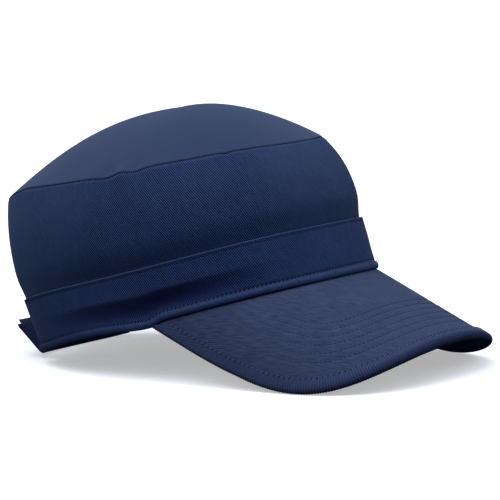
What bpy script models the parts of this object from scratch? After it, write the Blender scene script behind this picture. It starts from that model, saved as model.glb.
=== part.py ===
"""Military cap of navy cotton twill, resting on a flat surface.

A hollow crown (side wall and domed top panel), a band with a puffed hem round its foot, a stiff
curved peak with a padded binding round its edge, and two lapped tabs that close the opening at
the back.

The cap is modelled in its wearing frame: the rim lies near z = 0, the front is at -Y and the
angle round the cap runs from 0 at the front through the -X side to pi at the back. It is then
leaned back on an empty until the tabs and both drooping sides of the peak touch the surface.
Lengths are in metres.
"""

from collections import namedtuple
from math import ceil, copysign, cos, hypot, pi, radians, sin

import bmesh
import bpy
from mathutils import Matrix, Vector

# Rim, measured to the outer face of the band
HALF_WIDTH = 0.0800
FRONT_REACH = 0.0968
BACK_REACH = 0.0974
RIM_ROUNDNESS = 2.33

# Crown
CROWN_HEIGHT = 0.0819
CROWN_ROUNDNESS = 2.08
DOME_RISE = 0.0315
DOME_FULLNESS = 1.72
CROWN_CLOTH = 0.0016

# Band
BAND_HEIGHT = 0.0293
BAND_CLOTH = 0.0014
HEM_HEIGHT = 0.0043
HEM_BULGE = 0.0011
PINCH_DEPTH = 0.0024
PINCH_LENGTH = radians(24)  # round the cap, to where the pinch is half as deep
PINCH_CENTRE_SHARE = 0.36  # of the band's height
PINCH_SPREAD_SHARE = 0.20  # of the band's height

# Opening at the back, above the tabs
OPENING_HALF_ANGLE = radians(40)  # to each side of the middle
OPENING_HEIGHT = 0.0420
OPENING_SQUARENESS = 4.0

# Peak
PEAK_LENGTH = 0.0711
PEAK_SLOPE = radians(38.5)
PEAK_REACH = radians(77.6)  # round the cap, from the front to each corner
PEAK_THICKNESS = 0.0027
PEAK_SQUARENESS = 3.1
PEAK_CURL = 0.08
PEAK_STRAIGHT = 0.07  # of the way from its corner to its front, before its edge rounds
PEAK_INSET = 0.0006
PEAK_DROP = 0.0004
PEAK_CORNER = 0.0015

# Padded binding round the peak's free edge
BINDING_WIDTH = 0.0085
BINDING_THICKNESS = 0.0050
BINDING_LIP_SHARE = 0.82  # of the half thickness, where the binding meets the plate's faces

# Closing tabs at the back
TAB_CLOTH = 0.0013
TAB_HEIGHT = 0.0170
TAB_SEWN_ANGLE = radians(13)
TAB_LAP_ANGLE = radians(25)

# Clearance between cloths that lie on each other
GAP = 0.0003

# Faces round the whole cap, and along the peak
FRONT_STEPS = 56
BACK_STEPS = 16
PEAK_STEPS = 40
PEAK_ROWS = 9
BINDING_STEPS = 56
TAB_STEPS = 14  # for each OPENING_HALF_ANGLE
SHARP_EDGE = radians(35)

# How finely curves are measured and places are looked for
SECTION_STEPS = 240
OUTLINE_STEPS = 160
FACE_STEP = 0.0005
EDGE_STEP = 0.0010
HALVINGS = 40
SLIDES = 4

# Values at five places round the cap, alike on both sides
Stations = namedtuple("Stations", "front front_corner side back_corner back")

# How far each ring stands out from the rim, as shares of HALF_WIDTH
RIM_OUT = Stations(0.000, -0.001, 0.000, -0.002, -0.005)
BAND_TOP_OUT = Stations(-0.045, -0.006, 0.003, 0.038, 0.056)
SEAM_OUT = Stations(-0.138, -0.103, -0.063, -0.005, 0.068)
WALL_BULGE = Stations(0.051, 0.057, 0.037, 0.036, 0.035)

# How high each ring lies, as shares of the height named with it
RIM_RISE = Stations(0.003, 0.000, -0.043, -0.033, -0.005)  # of BAND_HEIGHT
BAND_TOP_RISE = Stations(1.001, 1.001, 0.988, 0.996, 0.888)  # of BAND_HEIGHT
SEAM_RISE = Stations(0.925, 0.957, 1.000, 1.057, 1.008)  # of CROWN_HEIGHT
DOME_BACK_LIFT = Stations(0.000, 0.000, 0.020, 0.130, 0.130)  # of DOME_RISE

DOME_CENTRE_SHARE = 0.153  # of FRONT_REACH
DOME_BASE_SHARE = 0.976  # of CROWN_HEIGHT
BULGE_SKEW = 1.15
DOME_SOFTNESS = 0.30  # how broadly the middle of the dome is rounded, of its radius

# Levels of the crown wall: -1 at the rim, 0 at the top of the band, 1 at the top seam
WALL_LEVELS = (-0.96, -0.62, -0.25, 0.0, 0.14, 0.32, 0.52, 0.72, 0.88, 1.0)
WALL_STEP_LEVEL = 0.3  # level by which the wall has come out from behind the band

# Outer face of the band: turns round its puffed hem, and shares of the plain web above it
HEM_TURNS = tuple(radians(turn) for turn in (-80, -40, 0, 40, 75))
WEB_SHARES = (0.12, 0.38, 0.68, 0.93)
FOLD_SHARE = 0.3  # of BAND_CLOTH, that the folded edge is rounded in

# Rings of the top panel, as shares of the way from its centre to the seam
TOP_RINGS = (1.0, 0.96, 0.90, 0.81, 0.69, 0.55, 0.40, 0.26, 0.12)

# Course of the outer tab from where it is sewn in, past the edge of the opening, to the middle of
# the back. turn is a share of OPENING_HALF_ANGLE past that edge; the rest are shares of TAB_HEIGHT.
TabRow = namedtuple("TabRow", "turn out_foot out_top foot")
TAB_COURSE = (
    TabRow(0.08, -0.200, -0.200, 0.030),
    TabRow(0.17, -0.090, 0.060, -0.030),
    TabRow(0.30, 0.110, 0.680, -0.088),
    TabRow(0.62, 0.130, 0.730, -0.088),
    TabRow(1.00, 0.130, 0.620, -0.088),
)
OUTER_TAB_TOP_SHARE = 1.04  # of TAB_HEIGHT
INNER_TAB_FOOT_SHARE = 0.27  # of TAB_HEIGHT
INNER_TAB_TOP_SHARE = 1.17  # of TAB_HEIGHT
INNER_TAB_END_SHARE = 0.38  # turn at which the inner tab ends, under the outer one


def signed_power(value, power):
    return copysign(abs(value) ** power, value)


def smooth(share):
    """Ease from 0 to 1."""
    share = min(max(share, 0.0), 1.0)
    return share * share * (3.0 - 2.0 * share)


def blend(start, end, share):
    return start * (1.0 - share) + end * share


def around(stations, angle):
    """Smooth value at an angle round the cap, through its five stations."""
    last = len(stations) - 1
    total = 0.0
    for wave in range(last + 1):
        share = 0.0
        for place, value in enumerate(stations):
            weight = 0.5 if place in (0, last) else 1.0
            share += weight * value * cos(pi * wave * place / last)
        share *= (1.0 if wave in (0, last) else 2.0) / last
        total += share * cos(wave * angle)
    return total


def ring_point(angle, out, height, roundness=RIM_ROUNDNESS):
    """Point of a rounded oval ring, moved out from it by a length."""
    power = 2.0 / roundness
    reach = FRONT_REACH if cos(angle) > 0.0 else BACK_REACH
    across = -signed_power(sin(angle), power)
    along = -signed_power(cos(angle), power)
    normal = Vector((
        signed_power(across, roundness - 1.0) / HALF_WIDTH,
        signed_power(along, roundness - 1.0) / reach,
        0.0,
    )).normalized()
    return Vector((across * HALF_WIDTH, along * reach, height)) + normal * out


def from_front(angle):
    """Angle folded to 0 at the front and pi at the back, alike on both sides."""
    return abs((angle + pi) % (2.0 * pi) - pi)


def rim_height(angle):
    return BAND_HEIGHT * around(RIM_RISE, angle)


def band_top_height(angle):
    return BAND_HEIGHT * around(BAND_TOP_RISE, angle)


def pinch(angle, share):
    """How far the band is drawn in just above its hem, beside each corner of the peak."""
    along = ((from_front(angle) - PEAK_REACH) / PINCH_LENGTH) ** 2
    across = ((share - PINCH_CENTRE_SHARE) / PINCH_SPREAD_SHARE) ** 2
    return PINCH_DEPTH * 2.0 ** (-along) * max(0.0, 1.0 - across)


def band_point(angle, share, out):
    """Point on the outer face of the band, from the rim (0) to its folded top edge (1)."""
    stand = HALF_WIDTH * blend(around(RIM_OUT, angle), around(BAND_TOP_OUT, angle), share)
    height = blend(rim_height(angle), band_top_height(angle), share)
    return ring_point(angle, stand + out - pinch(angle, share), height)


def wall_point(angle, level):
    """Point on the outer face of the crown wall."""
    behind_band = -(BAND_CLOTH + GAP)
    if level <= 0.0:
        return band_point(angle, 1.0 + level, behind_band)
    foot = band_point(angle, 1.0, behind_band * (1.0 - smooth(level / WALL_STEP_LEVEL)))
    seam = seam_point(angle, 0.0)
    point = foot.lerp(seam, level)
    rise = level ** BULGE_SKEW
    bulge = HALF_WIDTH * around(WALL_BULGE, angle) * 4.0 * rise * (1.0 - rise)
    return point + Vector((point.x, point.y, 0.0)).normalized() * bulge


def seam_point(angle, lift):
    out = HALF_WIDTH * around(SEAM_OUT, angle)
    return ring_point(angle, out, CROWN_HEIGHT * around(SEAM_RISE, angle) + lift, CROWN_ROUNDNESS)


def dome_fall(ring):
    """Share of the dome's rise that is lost at a ring, with a rounded middle."""
    soft = DOME_SOFTNESS ** DOME_FULLNESS
    span = (1.0 + DOME_SOFTNESS ** 2) ** (DOME_FULLNESS / 2.0) - soft
    return ((ring ** 2 + DOME_SOFTNESS ** 2) ** (DOME_FULLNESS / 2.0) - soft) / span


def top_point(angle, ring):
    """Point on the outer face of the top panel, from its centre (0) to the seam (1)."""
    seam = seam_point(angle, GAP / 2.0)
    centre_y = -DOME_CENTRE_SHARE * FRONT_REACH
    height = blend(CROWN_HEIGHT * DOME_BASE_SHARE, seam.z, ring ** 2)
    height += DOME_RISE * (1.0 - dome_fall(ring))
    height += DOME_RISE * around(DOME_BACK_LIFT, angle) * sin(pi * ring)
    return Vector((seam.x * ring, blend(centre_y, seam.y, ring), height))


def opening_level(angle):
    """Level of the wall's lower edge: at the rim, or raised over the opening at the back."""
    turn = abs(angle - pi) / OPENING_HALF_ANGLE
    if turn >= 1.0:
        return WALL_LEVELS[0]
    height = OPENING_HEIGHT * (1.0 - turn ** OPENING_SQUARENESS) ** (1.0 / OPENING_SQUARENESS)
    band_top = band_top_height(angle)
    if height < band_top:
        return max(WALL_LEVELS[0], height / band_top - 1.0)
    return (height - band_top) / (seam_point(angle, 0.0).z - band_top)


def ring_angles():
    """Angles round the whole cap, with a step on each edge of the opening."""
    edge = pi - OPENING_HALF_ANGLE
    front = [blend(-edge, edge, step / FRONT_STEPS) for step in range(FRONT_STEPS)]
    back = [edge + 2.0 * OPENING_HALF_ANGLE * step / BACK_STEPS for step in range(BACK_STEPS)]
    return [angle % (2.0 * pi) for angle in front + back]


def join_rows(mesh, first, second, closed):
    """Bridge two rows of vertices with faces."""
    count = len(first)
    for place in range(count if closed else count - 1):
        after = (place + 1) % count
        mesh.faces.new((first[place], first[after], second[after], second[place]))


def add_grid(mesh, rows, closed):
    """Skin rows of points with faces and return their vertices."""
    verts = [[mesh.verts.new(point) for point in row] for row in rows]
    for low, high in zip(verts, verts[1:]):
        join_rows(mesh, low, high, closed)
    return verts


def finish(mesh, name, material):
    """Turn a bmesh into one named, shaded object."""
    bmesh.ops.recalc_face_normals(mesh, faces=mesh.faces)
    data = bpy.data.meshes.new(name)
    mesh.to_mesh(data)
    mesh.free()
    data.shade_smooth()
    data.set_sharp_from_angle(angle=SHARP_EDGE)
    data.materials.append(material)
    piece = bpy.data.objects.new(name, data)
    bpy.context.scene.collection.objects.link(piece)
    return piece


def cloth(name, colour, roughness):
    material = bpy.data.materials.new(name)
    material.use_nodes = True
    shader = material.node_tree.nodes["Principled BSDF"]
    shader.inputs["Base Color"].default_value = (*colour, 1.0)
    shader.inputs["Roughness"].default_value = roughness
    shader.inputs["Metallic"].default_value = 0.0
    return material


def sheet_normals(rows):
    """Unit normal at each point of a grid closed along its rows."""
    normals = []
    for number, row in enumerate(rows):
        before = rows[max(number - 1, 0)]
        after = rows[min(number + 1, len(rows) - 1)]
        line = []
        for place in range(len(row)):
            along = row[(place + 1) % len(row)] - row[place - 1]
            across = after[place] - before[place]
            line.append(along.cross(across).normalized())
        normals.append(line)
    return normals


def make_crown_wall():
    """Tube of cloth from the rim to the top seam, cut away over the opening at the back."""
    mesh = bmesh.new()
    angles = ring_angles()
    outer = []
    for level in WALL_LEVELS:
        row = []
        for angle in angles:
            low = opening_level(angle)
            share = (level - WALL_LEVELS[0]) / (1.0 - WALL_LEVELS[0])
            row.append(wall_point(angle, blend(low, 1.0, share)))
        outer.append(row)
    outer[-1] = [seam_point(angle, -GAP / 2.0) for angle in angles]
    inner = []
    for row, normals in zip(outer, sheet_normals(outer)):
        line = []
        for point, normal in zip(row, normals):
            inward = -Vector((normal.x, normal.y, 0.0)).normalized()
            if inward.dot(point) > 0.0:
                inward = -inward
            line.append(point + inward * CROWN_CLOTH)
        inner.append(line)
    outer_verts = add_grid(mesh, outer, closed=True)
    inner_verts = add_grid(mesh, inner, closed=True)
    join_rows(mesh, outer_verts[0], inner_verts[0], closed=True)
    join_rows(mesh, outer_verts[-1], inner_verts[-1], closed=True)
    return finish(mesh, "crown_wall", cloth("wall_twill", (0.013, 0.022, 0.062), 0.85))


def make_crown_top():
    """Domed panel whose level edge meets the top of the wall at the seam."""
    mesh = bmesh.new()
    angles = ring_angles()
    outer = [[top_point(angle, ring) for angle in angles] for ring in TOP_RINGS]
    inner = []
    for number, (row, normals) in enumerate(zip(outer, sheet_normals(outer))):
        line = []
        for point, normal in zip(row, normals):
            if normal.z < 0.0:
                normal = -normal
            if number == 0:
                normal = Vector((point.x, point.y, 0.0)).normalized()
            line.append(point - normal * CROWN_CLOTH)
        inner.append(line)
    outer_verts = add_grid(mesh, outer, closed=True)
    inner_verts = add_grid(mesh, inner, closed=True)
    join_rows(mesh, outer_verts[0], inner_verts[0], closed=True)
    pole = top_point(0.0, 0.0)
    for verts, height in ((outer_verts[-1], pole.z), (inner_verts[-1], pole.z - CROWN_CLOTH)):
        centre = mesh.verts.new((pole.x, pole.y, height))
        for place in range(len(verts)):
            mesh.faces.new((verts[place - 1], verts[place], centre))
    return finish(mesh, "crown_top", cloth("top_twill", (0.030, 0.043, 0.088), 0.85))


def band_profile(angle):
    """Closed section of the band: puffed hem, stitched crease, plain web and folded top edge."""
    height = band_top_height(angle) - rim_height(angle)
    hem = HEM_HEIGHT / height
    points = []
    for turn in HEM_TURNS:
        points.append((hem / 2.0 * (1.0 + sin(turn)), HEM_BULGE * cos(turn)))
    crease = HEM_BULGE / 3.0
    points.append((hem + crease / height, -crease))
    for share in WEB_SHARES:
        points.append((blend(hem, 1.0, share), 0.0))
    points.append((1.0, -BAND_CLOTH * FOLD_SHARE))
    behind_web = [level for level in reversed(WALL_LEVELS) if WALL_LEVELS[0] < level <= 0.0]
    for level in behind_web + [-1.0]:
        points.append((1.0 + level, -BAND_CLOTH))
    return [band_point(angle, share, out) for share, out in points]


def make_band():
    """Strip of cloth round the foot of the crown, open where the back opens."""
    mesh = bmesh.new()
    edge = pi - OPENING_HALF_ANGLE
    rows = []
    for step in range(FRONT_STEPS + 1):
        rows.append(band_profile(blend(-edge, edge, step / FRONT_STEPS) % (2.0 * pi)))
    verts = add_grid(mesh, rows, closed=True)
    mesh.faces.new(verts[0])
    mesh.faces.new(verts[-1])
    return finish(mesh, "band", cloth("band_twill", (0.014, 0.024, 0.066), 0.85))


def peak_section():
    """Curve that the peak is bent to, as (arc length, out from the middle, drop) rows."""
    drop = FRONT_REACH * sin(PEAK_SLOPE)
    power = 2.0 / RIM_ROUNDNESS
    rows = [(0.0, 0.0, 0.0)]
    for step in range(1, SECTION_STEPS + 1):
        turn = pi / 2.0 * step / SECTION_STEPS
        out = (HALF_WIDTH - PEAK_INSET) * sin(turn) ** power
        down = drop * (1.0 - cos(turn) ** power if step < SECTION_STEPS else 1.0)
        length = rows[-1][0] + hypot(out - rows[-1][1], down - rows[-1][2])
        rows.append((length, out, down))
    return rows


def look_up(rows, value, given, wanted):
    """Value of one column where another, rising one has the given value."""
    low = 0
    high = len(rows) - 1
    while high - low > 1:
        middle = (low + high) // 2
        if rows[middle][given] < value:
            low = middle
        else:
            high = middle
    span = rows[high][given] - rows[low][given]
    share = (value - rows[low][given]) / span
    return blend(rows[low][wanted], rows[high][wanted], share)


SECTION = peak_section()


def bend(side, forward):
    """Point of the peak's upper face from its flat pattern: across (side) and out (forward)."""
    length = abs(side)
    full = SECTION[-1][0]
    out = look_up(SECTION, min(length, full), 0, 1)
    down = look_up(SECTION, min(length, full), 0, 2) + max(length - full, 0.0)
    down *= 1.0 + PEAK_CURL * max(forward, 0.0) / PEAK_LENGTH
    return Vector((
        -copysign(out, side),
        -FRONT_REACH + down * sin(PEAK_SLOPE) - forward * cos(PEAK_SLOPE),
        -PEAK_DROP - down * cos(PEAK_SLOPE) - forward * sin(PEAK_SLOPE),
    ))


def peak_point(side, forward, lift):
    """Point at a height above (or below) the peak's upper face."""
    along = bend(side + FACE_STEP, forward) - bend(side - FACE_STEP, forward)
    across = bend(side, forward + FACE_STEP) - bend(side, forward - FACE_STEP)
    normal = across.cross(along).normalized()
    if normal.z < 0.0:
        normal = -normal
    return bend(side, forward) + normal * lift


def rim_pattern(angle):
    """Place in the flat pattern where the peak meets the rim."""
    power = 2.0 / RIM_ROUNDNESS
    side = look_up(SECTION, HALF_WIDTH * abs(sin(angle)) ** power, 1, 0)
    down = FRONT_REACH * sin(PEAK_SLOPE) * (1.0 - abs(cos(angle)) ** power)
    return copysign(side, angle), -down * cos(PEAK_SLOPE) / sin(PEAK_SLOPE)


def peak_outline():
    """Free edge in the flat pattern from the middle of the front to the corner at the rim."""
    corner_side, corner_forward = rim_pattern(PEAK_REACH)
    straight_end = blend(corner_forward, PEAK_LENGTH, PEAK_STRAIGHT)
    power = 2.0 / PEAK_SQUARENESS
    places = []
    for step in range(OUTLINE_STEPS + 1):
        turn = pi / 2.0 * step / OUTLINE_STEPS
        side = corner_side * sin(turn) ** power
        rise = max(cos(turn), 0.0) ** power
        places.append((side, straight_end + (PEAK_LENGTH - straight_end) * rise))
    places.append((corner_side, corner_forward))
    rows = [(0.0, *places[0])]
    for side, forward in places[1:]:
        length = rows[-1][0] + hypot(side - rows[-1][1], forward - rows[-1][2])
        rows.append((length, side, forward))
    return rows


OUTLINE = peak_outline()


def edge_place(length, outward):
    """Place in the flat pattern beside the free edge, by length from the middle of the front."""
    run = abs(length)
    full = OUTLINE[-1][0]

    def on_edge(value):
        if value >= full:
            return OUTLINE[-1][1], OUTLINE[-1][2] - (value - full)
        return look_up(OUTLINE, value, 0, 1), look_up(OUTLINE, value, 0, 2)

    side, forward = on_edge(run)
    before = on_edge(max(run - EDGE_STEP, 0.0))
    after = on_edge(run + EDGE_STEP)
    run_side = after[0] - before[0]
    run_forward = after[1] - before[1]
    size = hypot(run_side, run_forward)
    side += -run_forward / size * outward
    forward += run_side / size * outward
    return copysign(side, length), forward


def level_at_rim(side, forward, lift, angle):
    """How far forward a place in the pattern slides until it lies just under the band."""
    target = rim_height(angle) - GAP
    for _ in range(SLIDES):
        forward += (peak_point(side, forward, lift).z - target) / sin(PEAK_SLOPE)
    return forward


def make_peak():
    """Stiff plate under cloth, cut level where it meets the band."""
    mesh = bmesh.new()
    faces = []
    for lift in (0.0, -PEAK_THICKNESS):
        run = rail_end(0.0, lift) - PEAK_CORNER
        rows = []
        for step in range(PEAK_STEPS + 1):
            share = blend(-1.0, 1.0, step / PEAK_STEPS)
            angle = PEAK_REACH * share
            rim_side, rim_forward = rim_pattern(angle)
            rim_forward = level_at_rim(rim_side, rim_forward, lift, angle)
            edge_side, edge_forward = edge_place(run * share, 0.0)
            row = []
            for line in range(PEAK_ROWS + 1):
                depth = line / PEAK_ROWS
                side = blend(rim_side, edge_side, depth)
                row.append(peak_point(side, blend(rim_forward, edge_forward, depth), lift))
            rows.append(row)
        faces.append(add_grid(mesh, rows, closed=False))
    upper, lower = faces
    join_rows(mesh, upper[0], lower[0], closed=False)
    join_rows(mesh, upper[-1], lower[-1], closed=False)
    join_rows(mesh, [row[0] for row in upper], [row[0] for row in lower], closed=False)
    join_rows(mesh, [row[-1] for row in upper], [row[-1] for row in lower], closed=False)
    return finish(mesh, "peak", cloth("peak_twill", (0.033, 0.047, 0.094), 0.85))


def binding_profile():
    """Section of the binding as (outward from the plate's edge, above its middle) pairs."""
    half = BINDING_THICKNESS / 2.0
    face = PEAK_THICKNESS / 2.0 + GAP
    inner = half - BINDING_WIDTH
    upper = [(inner, face), (inner + GAP, half * BINDING_LIP_SHARE), (inner + half, half)]
    turns = [radians(turn) for turn in (90, 54, 18, -18, -54, -90)]
    nose = [(half * cos(turn), half * sin(turn)) for turn in turns]
    lower = [(out, -rise) for out, rise in reversed(upper)]
    slot = [(GAP, -face), (GAP, face)]
    return upper + nose + lower + slot


def rail_end(outward, lift):
    """Length along the free edge at which a rail of the binding comes up to the band."""
    low = OUTLINE[-1][0] - 4.0 * BINDING_WIDTH
    high = OUTLINE[-1][0] + 4.0 * BINDING_WIDTH
    target = rim_height(PEAK_REACH) - GAP
    for _ in range(HALVINGS):
        middle = (low + high) / 2.0
        if peak_point(*edge_place(middle, outward), lift).z < target:
            low = middle
        else:
            high = middle
    return low


def make_peak_binding():
    """Padded strip folded round the free edge of the peak, from corner to corner."""
    mesh = bmesh.new()
    rails = []
    for outward, rise in binding_profile():
        lift = rise - PEAK_THICKNESS / 2.0
        end = rail_end(outward, lift)
        rail = []
        for step in range(BINDING_STEPS + 1):
            place = edge_place(end * blend(-1.0, 1.0, step / BINDING_STEPS), outward)
            rail.append(peak_point(*place, lift))
        rails.append(rail)
    sections = [list(section) for section in zip(*rails)]
    verts = add_grid(mesh, sections, closed=True)
    mesh.faces.new(verts[0])
    mesh.faces.new(verts[-1])
    return finish(mesh, "peak_binding", cloth("binding_rib", (0.022, 0.034, 0.078), 0.85))


def tab_row(turn):
    """Row of the tab's course at a turn past the edge of the opening, alike on both sides."""
    turn = 1.0 - abs(1.0 - turn)
    if turn <= TAB_COURSE[0].turn:
        return TAB_COURSE[0]
    for first, second in zip(TAB_COURSE, TAB_COURSE[1:]):
        if turn <= second.turn:
            share = smooth((turn - first.turn) / (second.turn - first.turn))
            return TabRow(*(blend(a, b, share) for a, b in zip(first, second)))
    return TAB_COURSE[-1]


def sewn_depth():
    """How far inside the band's outer face the sewn end of a tab has its own outer face."""
    return BAND_CLOTH + CROWN_CLOTH + 2.0 * GAP


def tab_point(turn, share, foot, top, inset, depth):
    """Point of a tab: share runs from its foot to its top edge, depth goes into its cloth."""
    row = tab_row(turn)
    angle = pi - OPENING_HALF_ANGLE * (1.0 - turn)
    height = blend(foot, top, share)
    rise = (height - row.foot) / (1.0 - row.foot)
    out = TAB_HEIGHT * blend(row.out_foot, row.out_top, rise)
    sewn = 1.0 - smooth((turn - TAB_COURSE[0].turn) / (TAB_COURSE[2].turn - TAB_COURSE[0].turn))
    out = blend(out, -sewn_depth(), sewn)
    stand = HALF_WIDTH * around(RIM_OUT, angle) + out - inset - depth
    base = rim_height(angle)
    if sewn > 0.0:
        wall = band_point(angle, min(max(height * TAB_HEIGHT / BAND_HEIGHT, 0.0), 1.0), 0.0)
        lean = wall.xy.length - ring_point(angle, HALF_WIDTH * around(RIM_OUT, angle), 0.0).xy.length
        stand += lean * sewn
    return ring_point(angle, stand, base + height * TAB_HEIGHT)


def make_tab(name, start, end, foot, top, layer, mirrored, material):
    """Flat strip along the tab's course; layer is how many cloths it lies under."""
    mesh = bmesh.new()
    steps = ceil((end - start) * TAB_STEPS)
    sections = []
    for step in range(steps + 1):
        turn = blend(start, end, step / steps)
        inset = layer * (TAB_CLOTH + GAP) * smooth((turn - TAB_COURSE[0].turn) / TAB_COURSE[2].turn)
        low = max(foot, tab_row(turn).foot)
        section = []
        for share, depth in ((0.0, 0.0), (0.5, 0.0), (1.0, 0.0), (1.0, 1.0), (0.5, 1.0), (0.0, 1.0)):
            point = tab_point(turn, share, low, top, inset, depth * TAB_CLOTH)
            if mirrored:
                point.x = -point.x
            section.append(point)
        sections.append(section)
    verts = add_grid(mesh, sections, closed=True)
    mesh.faces.new(verts[0])
    mesh.faces.new(verts[-1])
    return finish(mesh, name, material)


def make_tabs():
    """Outer tab sewn in on the -X side and inner tab sewn in on the +X side, lapped at the back."""
    material = cloth("tab_twill", (0.012, 0.020, 0.058), 0.88)
    sewn_start = -TAB_SEWN_ANGLE / OPENING_HALF_ANGLE
    outer_end = 1.0 + TAB_LAP_ANGLE / OPENING_HALF_ANGLE
    outer_low = min(row.foot for row in TAB_COURSE)
    outer_top = OUTER_TAB_TOP_SHARE
    outer = make_tab("tab_outer", sewn_start, outer_end, outer_low, outer_top, 0, False, material)
    inner_end = 2.0 - INNER_TAB_END_SHARE
    inner_low = INNER_TAB_FOOT_SHARE
    inner_top = INNER_TAB_TOP_SHARE
    inner = make_tab("tab_inner", sewn_start, inner_end, inner_low, inner_top, 1, True, material)
    return [outer, inner]


def lean_angle(points):
    """Lean at which the back and the peak reach equally low."""
    low = 0.0
    high = radians(45)
    for _ in range(HALVINGS):
        angle = (low + high) / 2.0
        heights = [(point.y, -point.y * sin(angle) + point.z * cos(angle)) for point in points]
        back = min(height for along, height in heights if along > 0.0)
        front = min(height for along, height in heights if along <= 0.0)
        if back > front:
            low = angle
        else:
            high = angle
    return angle


def rest_on_surface(pieces):
    """Lean the cap back on an empty and centre its box over the origin."""
    points = [vertex.co for piece in pieces for vertex in piece.data.vertices]
    turn = Matrix.Rotation(-lean_angle(points), 4, "X")
    turned = [turn @ point for point in points]
    lowest = min(point.z for point in turned)
    middle_x = (min(point.x for point in turned) + max(point.x for point in turned)) / 2.0
    middle_y = (min(point.y for point in turned) + max(point.y for point in turned)) / 2.0
    empty = bpy.data.objects.new("cap_at_rest", None)
    bpy.context.scene.collection.objects.link(empty)
    empty.matrix_world = Matrix.Translation((-middle_x, -middle_y, -lowest)) @ turn
    for piece in pieces:
        piece.parent = empty


def clear_scene():
    for item in list(bpy.data.objects):
        bpy.data.objects.remove(item, do_unlink=True)


clear_scene()
cap = [make_crown_wall(), make_crown_top(), make_band(), make_peak(), make_peak_binding()]
rest_on_surface(cap + make_tabs())
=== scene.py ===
"""Looks of a military cap: navy cotton twill, its seams and stitches, and the light it lies in."""

from collections import namedtuple
from math import cos, pi, radians, sin

import bmesh
import bpy
import numpy as np
from mathutils import Matrix, Vector


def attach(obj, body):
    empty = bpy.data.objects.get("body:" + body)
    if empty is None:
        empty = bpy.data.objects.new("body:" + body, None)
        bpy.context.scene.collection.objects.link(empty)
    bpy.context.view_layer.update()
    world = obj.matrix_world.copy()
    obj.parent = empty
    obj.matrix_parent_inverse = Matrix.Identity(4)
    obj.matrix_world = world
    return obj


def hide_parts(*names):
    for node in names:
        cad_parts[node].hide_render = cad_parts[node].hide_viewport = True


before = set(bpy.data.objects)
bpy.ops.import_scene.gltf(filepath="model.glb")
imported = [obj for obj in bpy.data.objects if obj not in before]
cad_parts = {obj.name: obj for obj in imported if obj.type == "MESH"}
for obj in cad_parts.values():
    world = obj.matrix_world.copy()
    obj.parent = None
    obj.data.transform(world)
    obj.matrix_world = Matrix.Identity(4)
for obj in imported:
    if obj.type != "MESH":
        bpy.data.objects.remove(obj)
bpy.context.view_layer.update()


# Wall of the crown
# Navy cotton twill, cut as a front and a back half that are joined by a seam at each side. It runs
# down behind the band to the rim, and is cut away in an arch over the closing tabs at the back.

# The cap is drawn as it is worn: the rim near z = 0 and the front at -Y. Angles run from 0 at the
# front through the -X side to pi at the back. It then leans back until it lies on the floor.
LEAN = radians(14.75)
RIM_CENTRE = np.array((0.0, 0.0201, 0.0269))
LEANED = np.array(Matrix.Rotation(-LEAN, 3, "X"))

HALF_WIDTH = 0.0800
FRONT_REACH = 0.0968
BACK_REACH = 0.0974
RIM_ROUNDNESS = 2.33
CROWN_HEIGHT = 0.0819
CROWN_ROUNDNESS = 2.08
CROWN_CLOTH = 0.0016
BAND_HEIGHT = 0.0293
WALL_HEIGHT = CROWN_HEIGHT - BAND_HEIGHT
BAND_CLOTH = 0.0014
CLEARANCE = 0.0003
BULGE_SKEW = 1.15
WALL_STEP_OUT = 0.3
WALL_LOW = -0.96
OPENING_HALF_ANGLE = radians(40)
OPENING_HEIGHT = 0.0420
OPENING_SQUARENESS = 4.0
PEAK_REACH = radians(77.6)
PINCH_DEPTH = 0.0024
PINCH_LENGTH = radians(24)
PINCH_CENTRE = 0.36
PINCH_SPREAD = 0.20

# Values at five places round the cap, alike on both sides: how far out each ring stands, as shares
# of HALF_WIDTH, and how high it lies, as shares of the band's or the crown's height
Stations = namedtuple("Stations", "front front_corner side back_corner back")
RIM_OUT = Stations(0.000, -0.001, 0.000, -0.002, -0.005)
BAND_TOP_OUT = Stations(-0.045, -0.006, 0.003, 0.038, 0.056)
SEAM_OUT = Stations(-0.138, -0.103, -0.063, -0.005, 0.068)
WALL_BULGE = Stations(0.051, 0.057, 0.037, 0.036, 0.035)
RIM_RISE = Stations(0.003, 0.000, -0.043, -0.033, -0.005)
BAND_TOP_RISE = Stations(1.001, 1.001, 0.988, 0.996, 0.888)
SEAM_RISE = Stations(0.925, 0.957, 1.000, 1.057, 1.008)

# The hem sags over each corner of the peak, from just before it
HEM_SAG = 0.0021
SAG_START = radians(-2.5)
SAG_RISE = radians(6)
SAG_FALL = radians(15)

# Where a seam was pulled up or down in sewing: angle and spread in degrees, rise in metres
Kink = namedtuple("Kink", "angle spread rise")
HEM_KINKS = (
    Kink(106.0, 14.0, 0.0011),
    Kink(-106.0, 14.0, 0.0011),
    Kink(-140.0, 12.0, 0.0015),
)

# At the top seam both cloths roll in over the stitching; the valley gets painted shade and the cloth
# where the roll ends a painted highlight
SEAM_TUCK = 0.0006
SEAM_ROLL = 0.0014
SEAM_SHADE = 0.35
SEAM_HIGHLIGHT = 0.25

WALL_COLUMNS = 440
WALL_ROWS = 62
ROLL_ROWS = 9
SEAM_COLUMNS = 9
ARCH_COLUMNS = 24
SIDE_SEAM_ANGLE = radians(88)
SIDE_SEAM_WIDTH = 0.0007
SIDE_SEAM_DEPTH = 0.0006

# Painted shade: where the sides are drawn in most, the cloth beside the band's fold is painted dark,
# and a narrow strip right above the fold is painted darker still all round
SHADE_ANGLE = radians(82)
SHADE_SPREAD = radians(42)
SHADE_HEIGHT = 0.0085
WALL_SHADE = 0.55
TUCK_HEIGHT = 0.0012
TUCK_SHADE = 0.8
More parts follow.
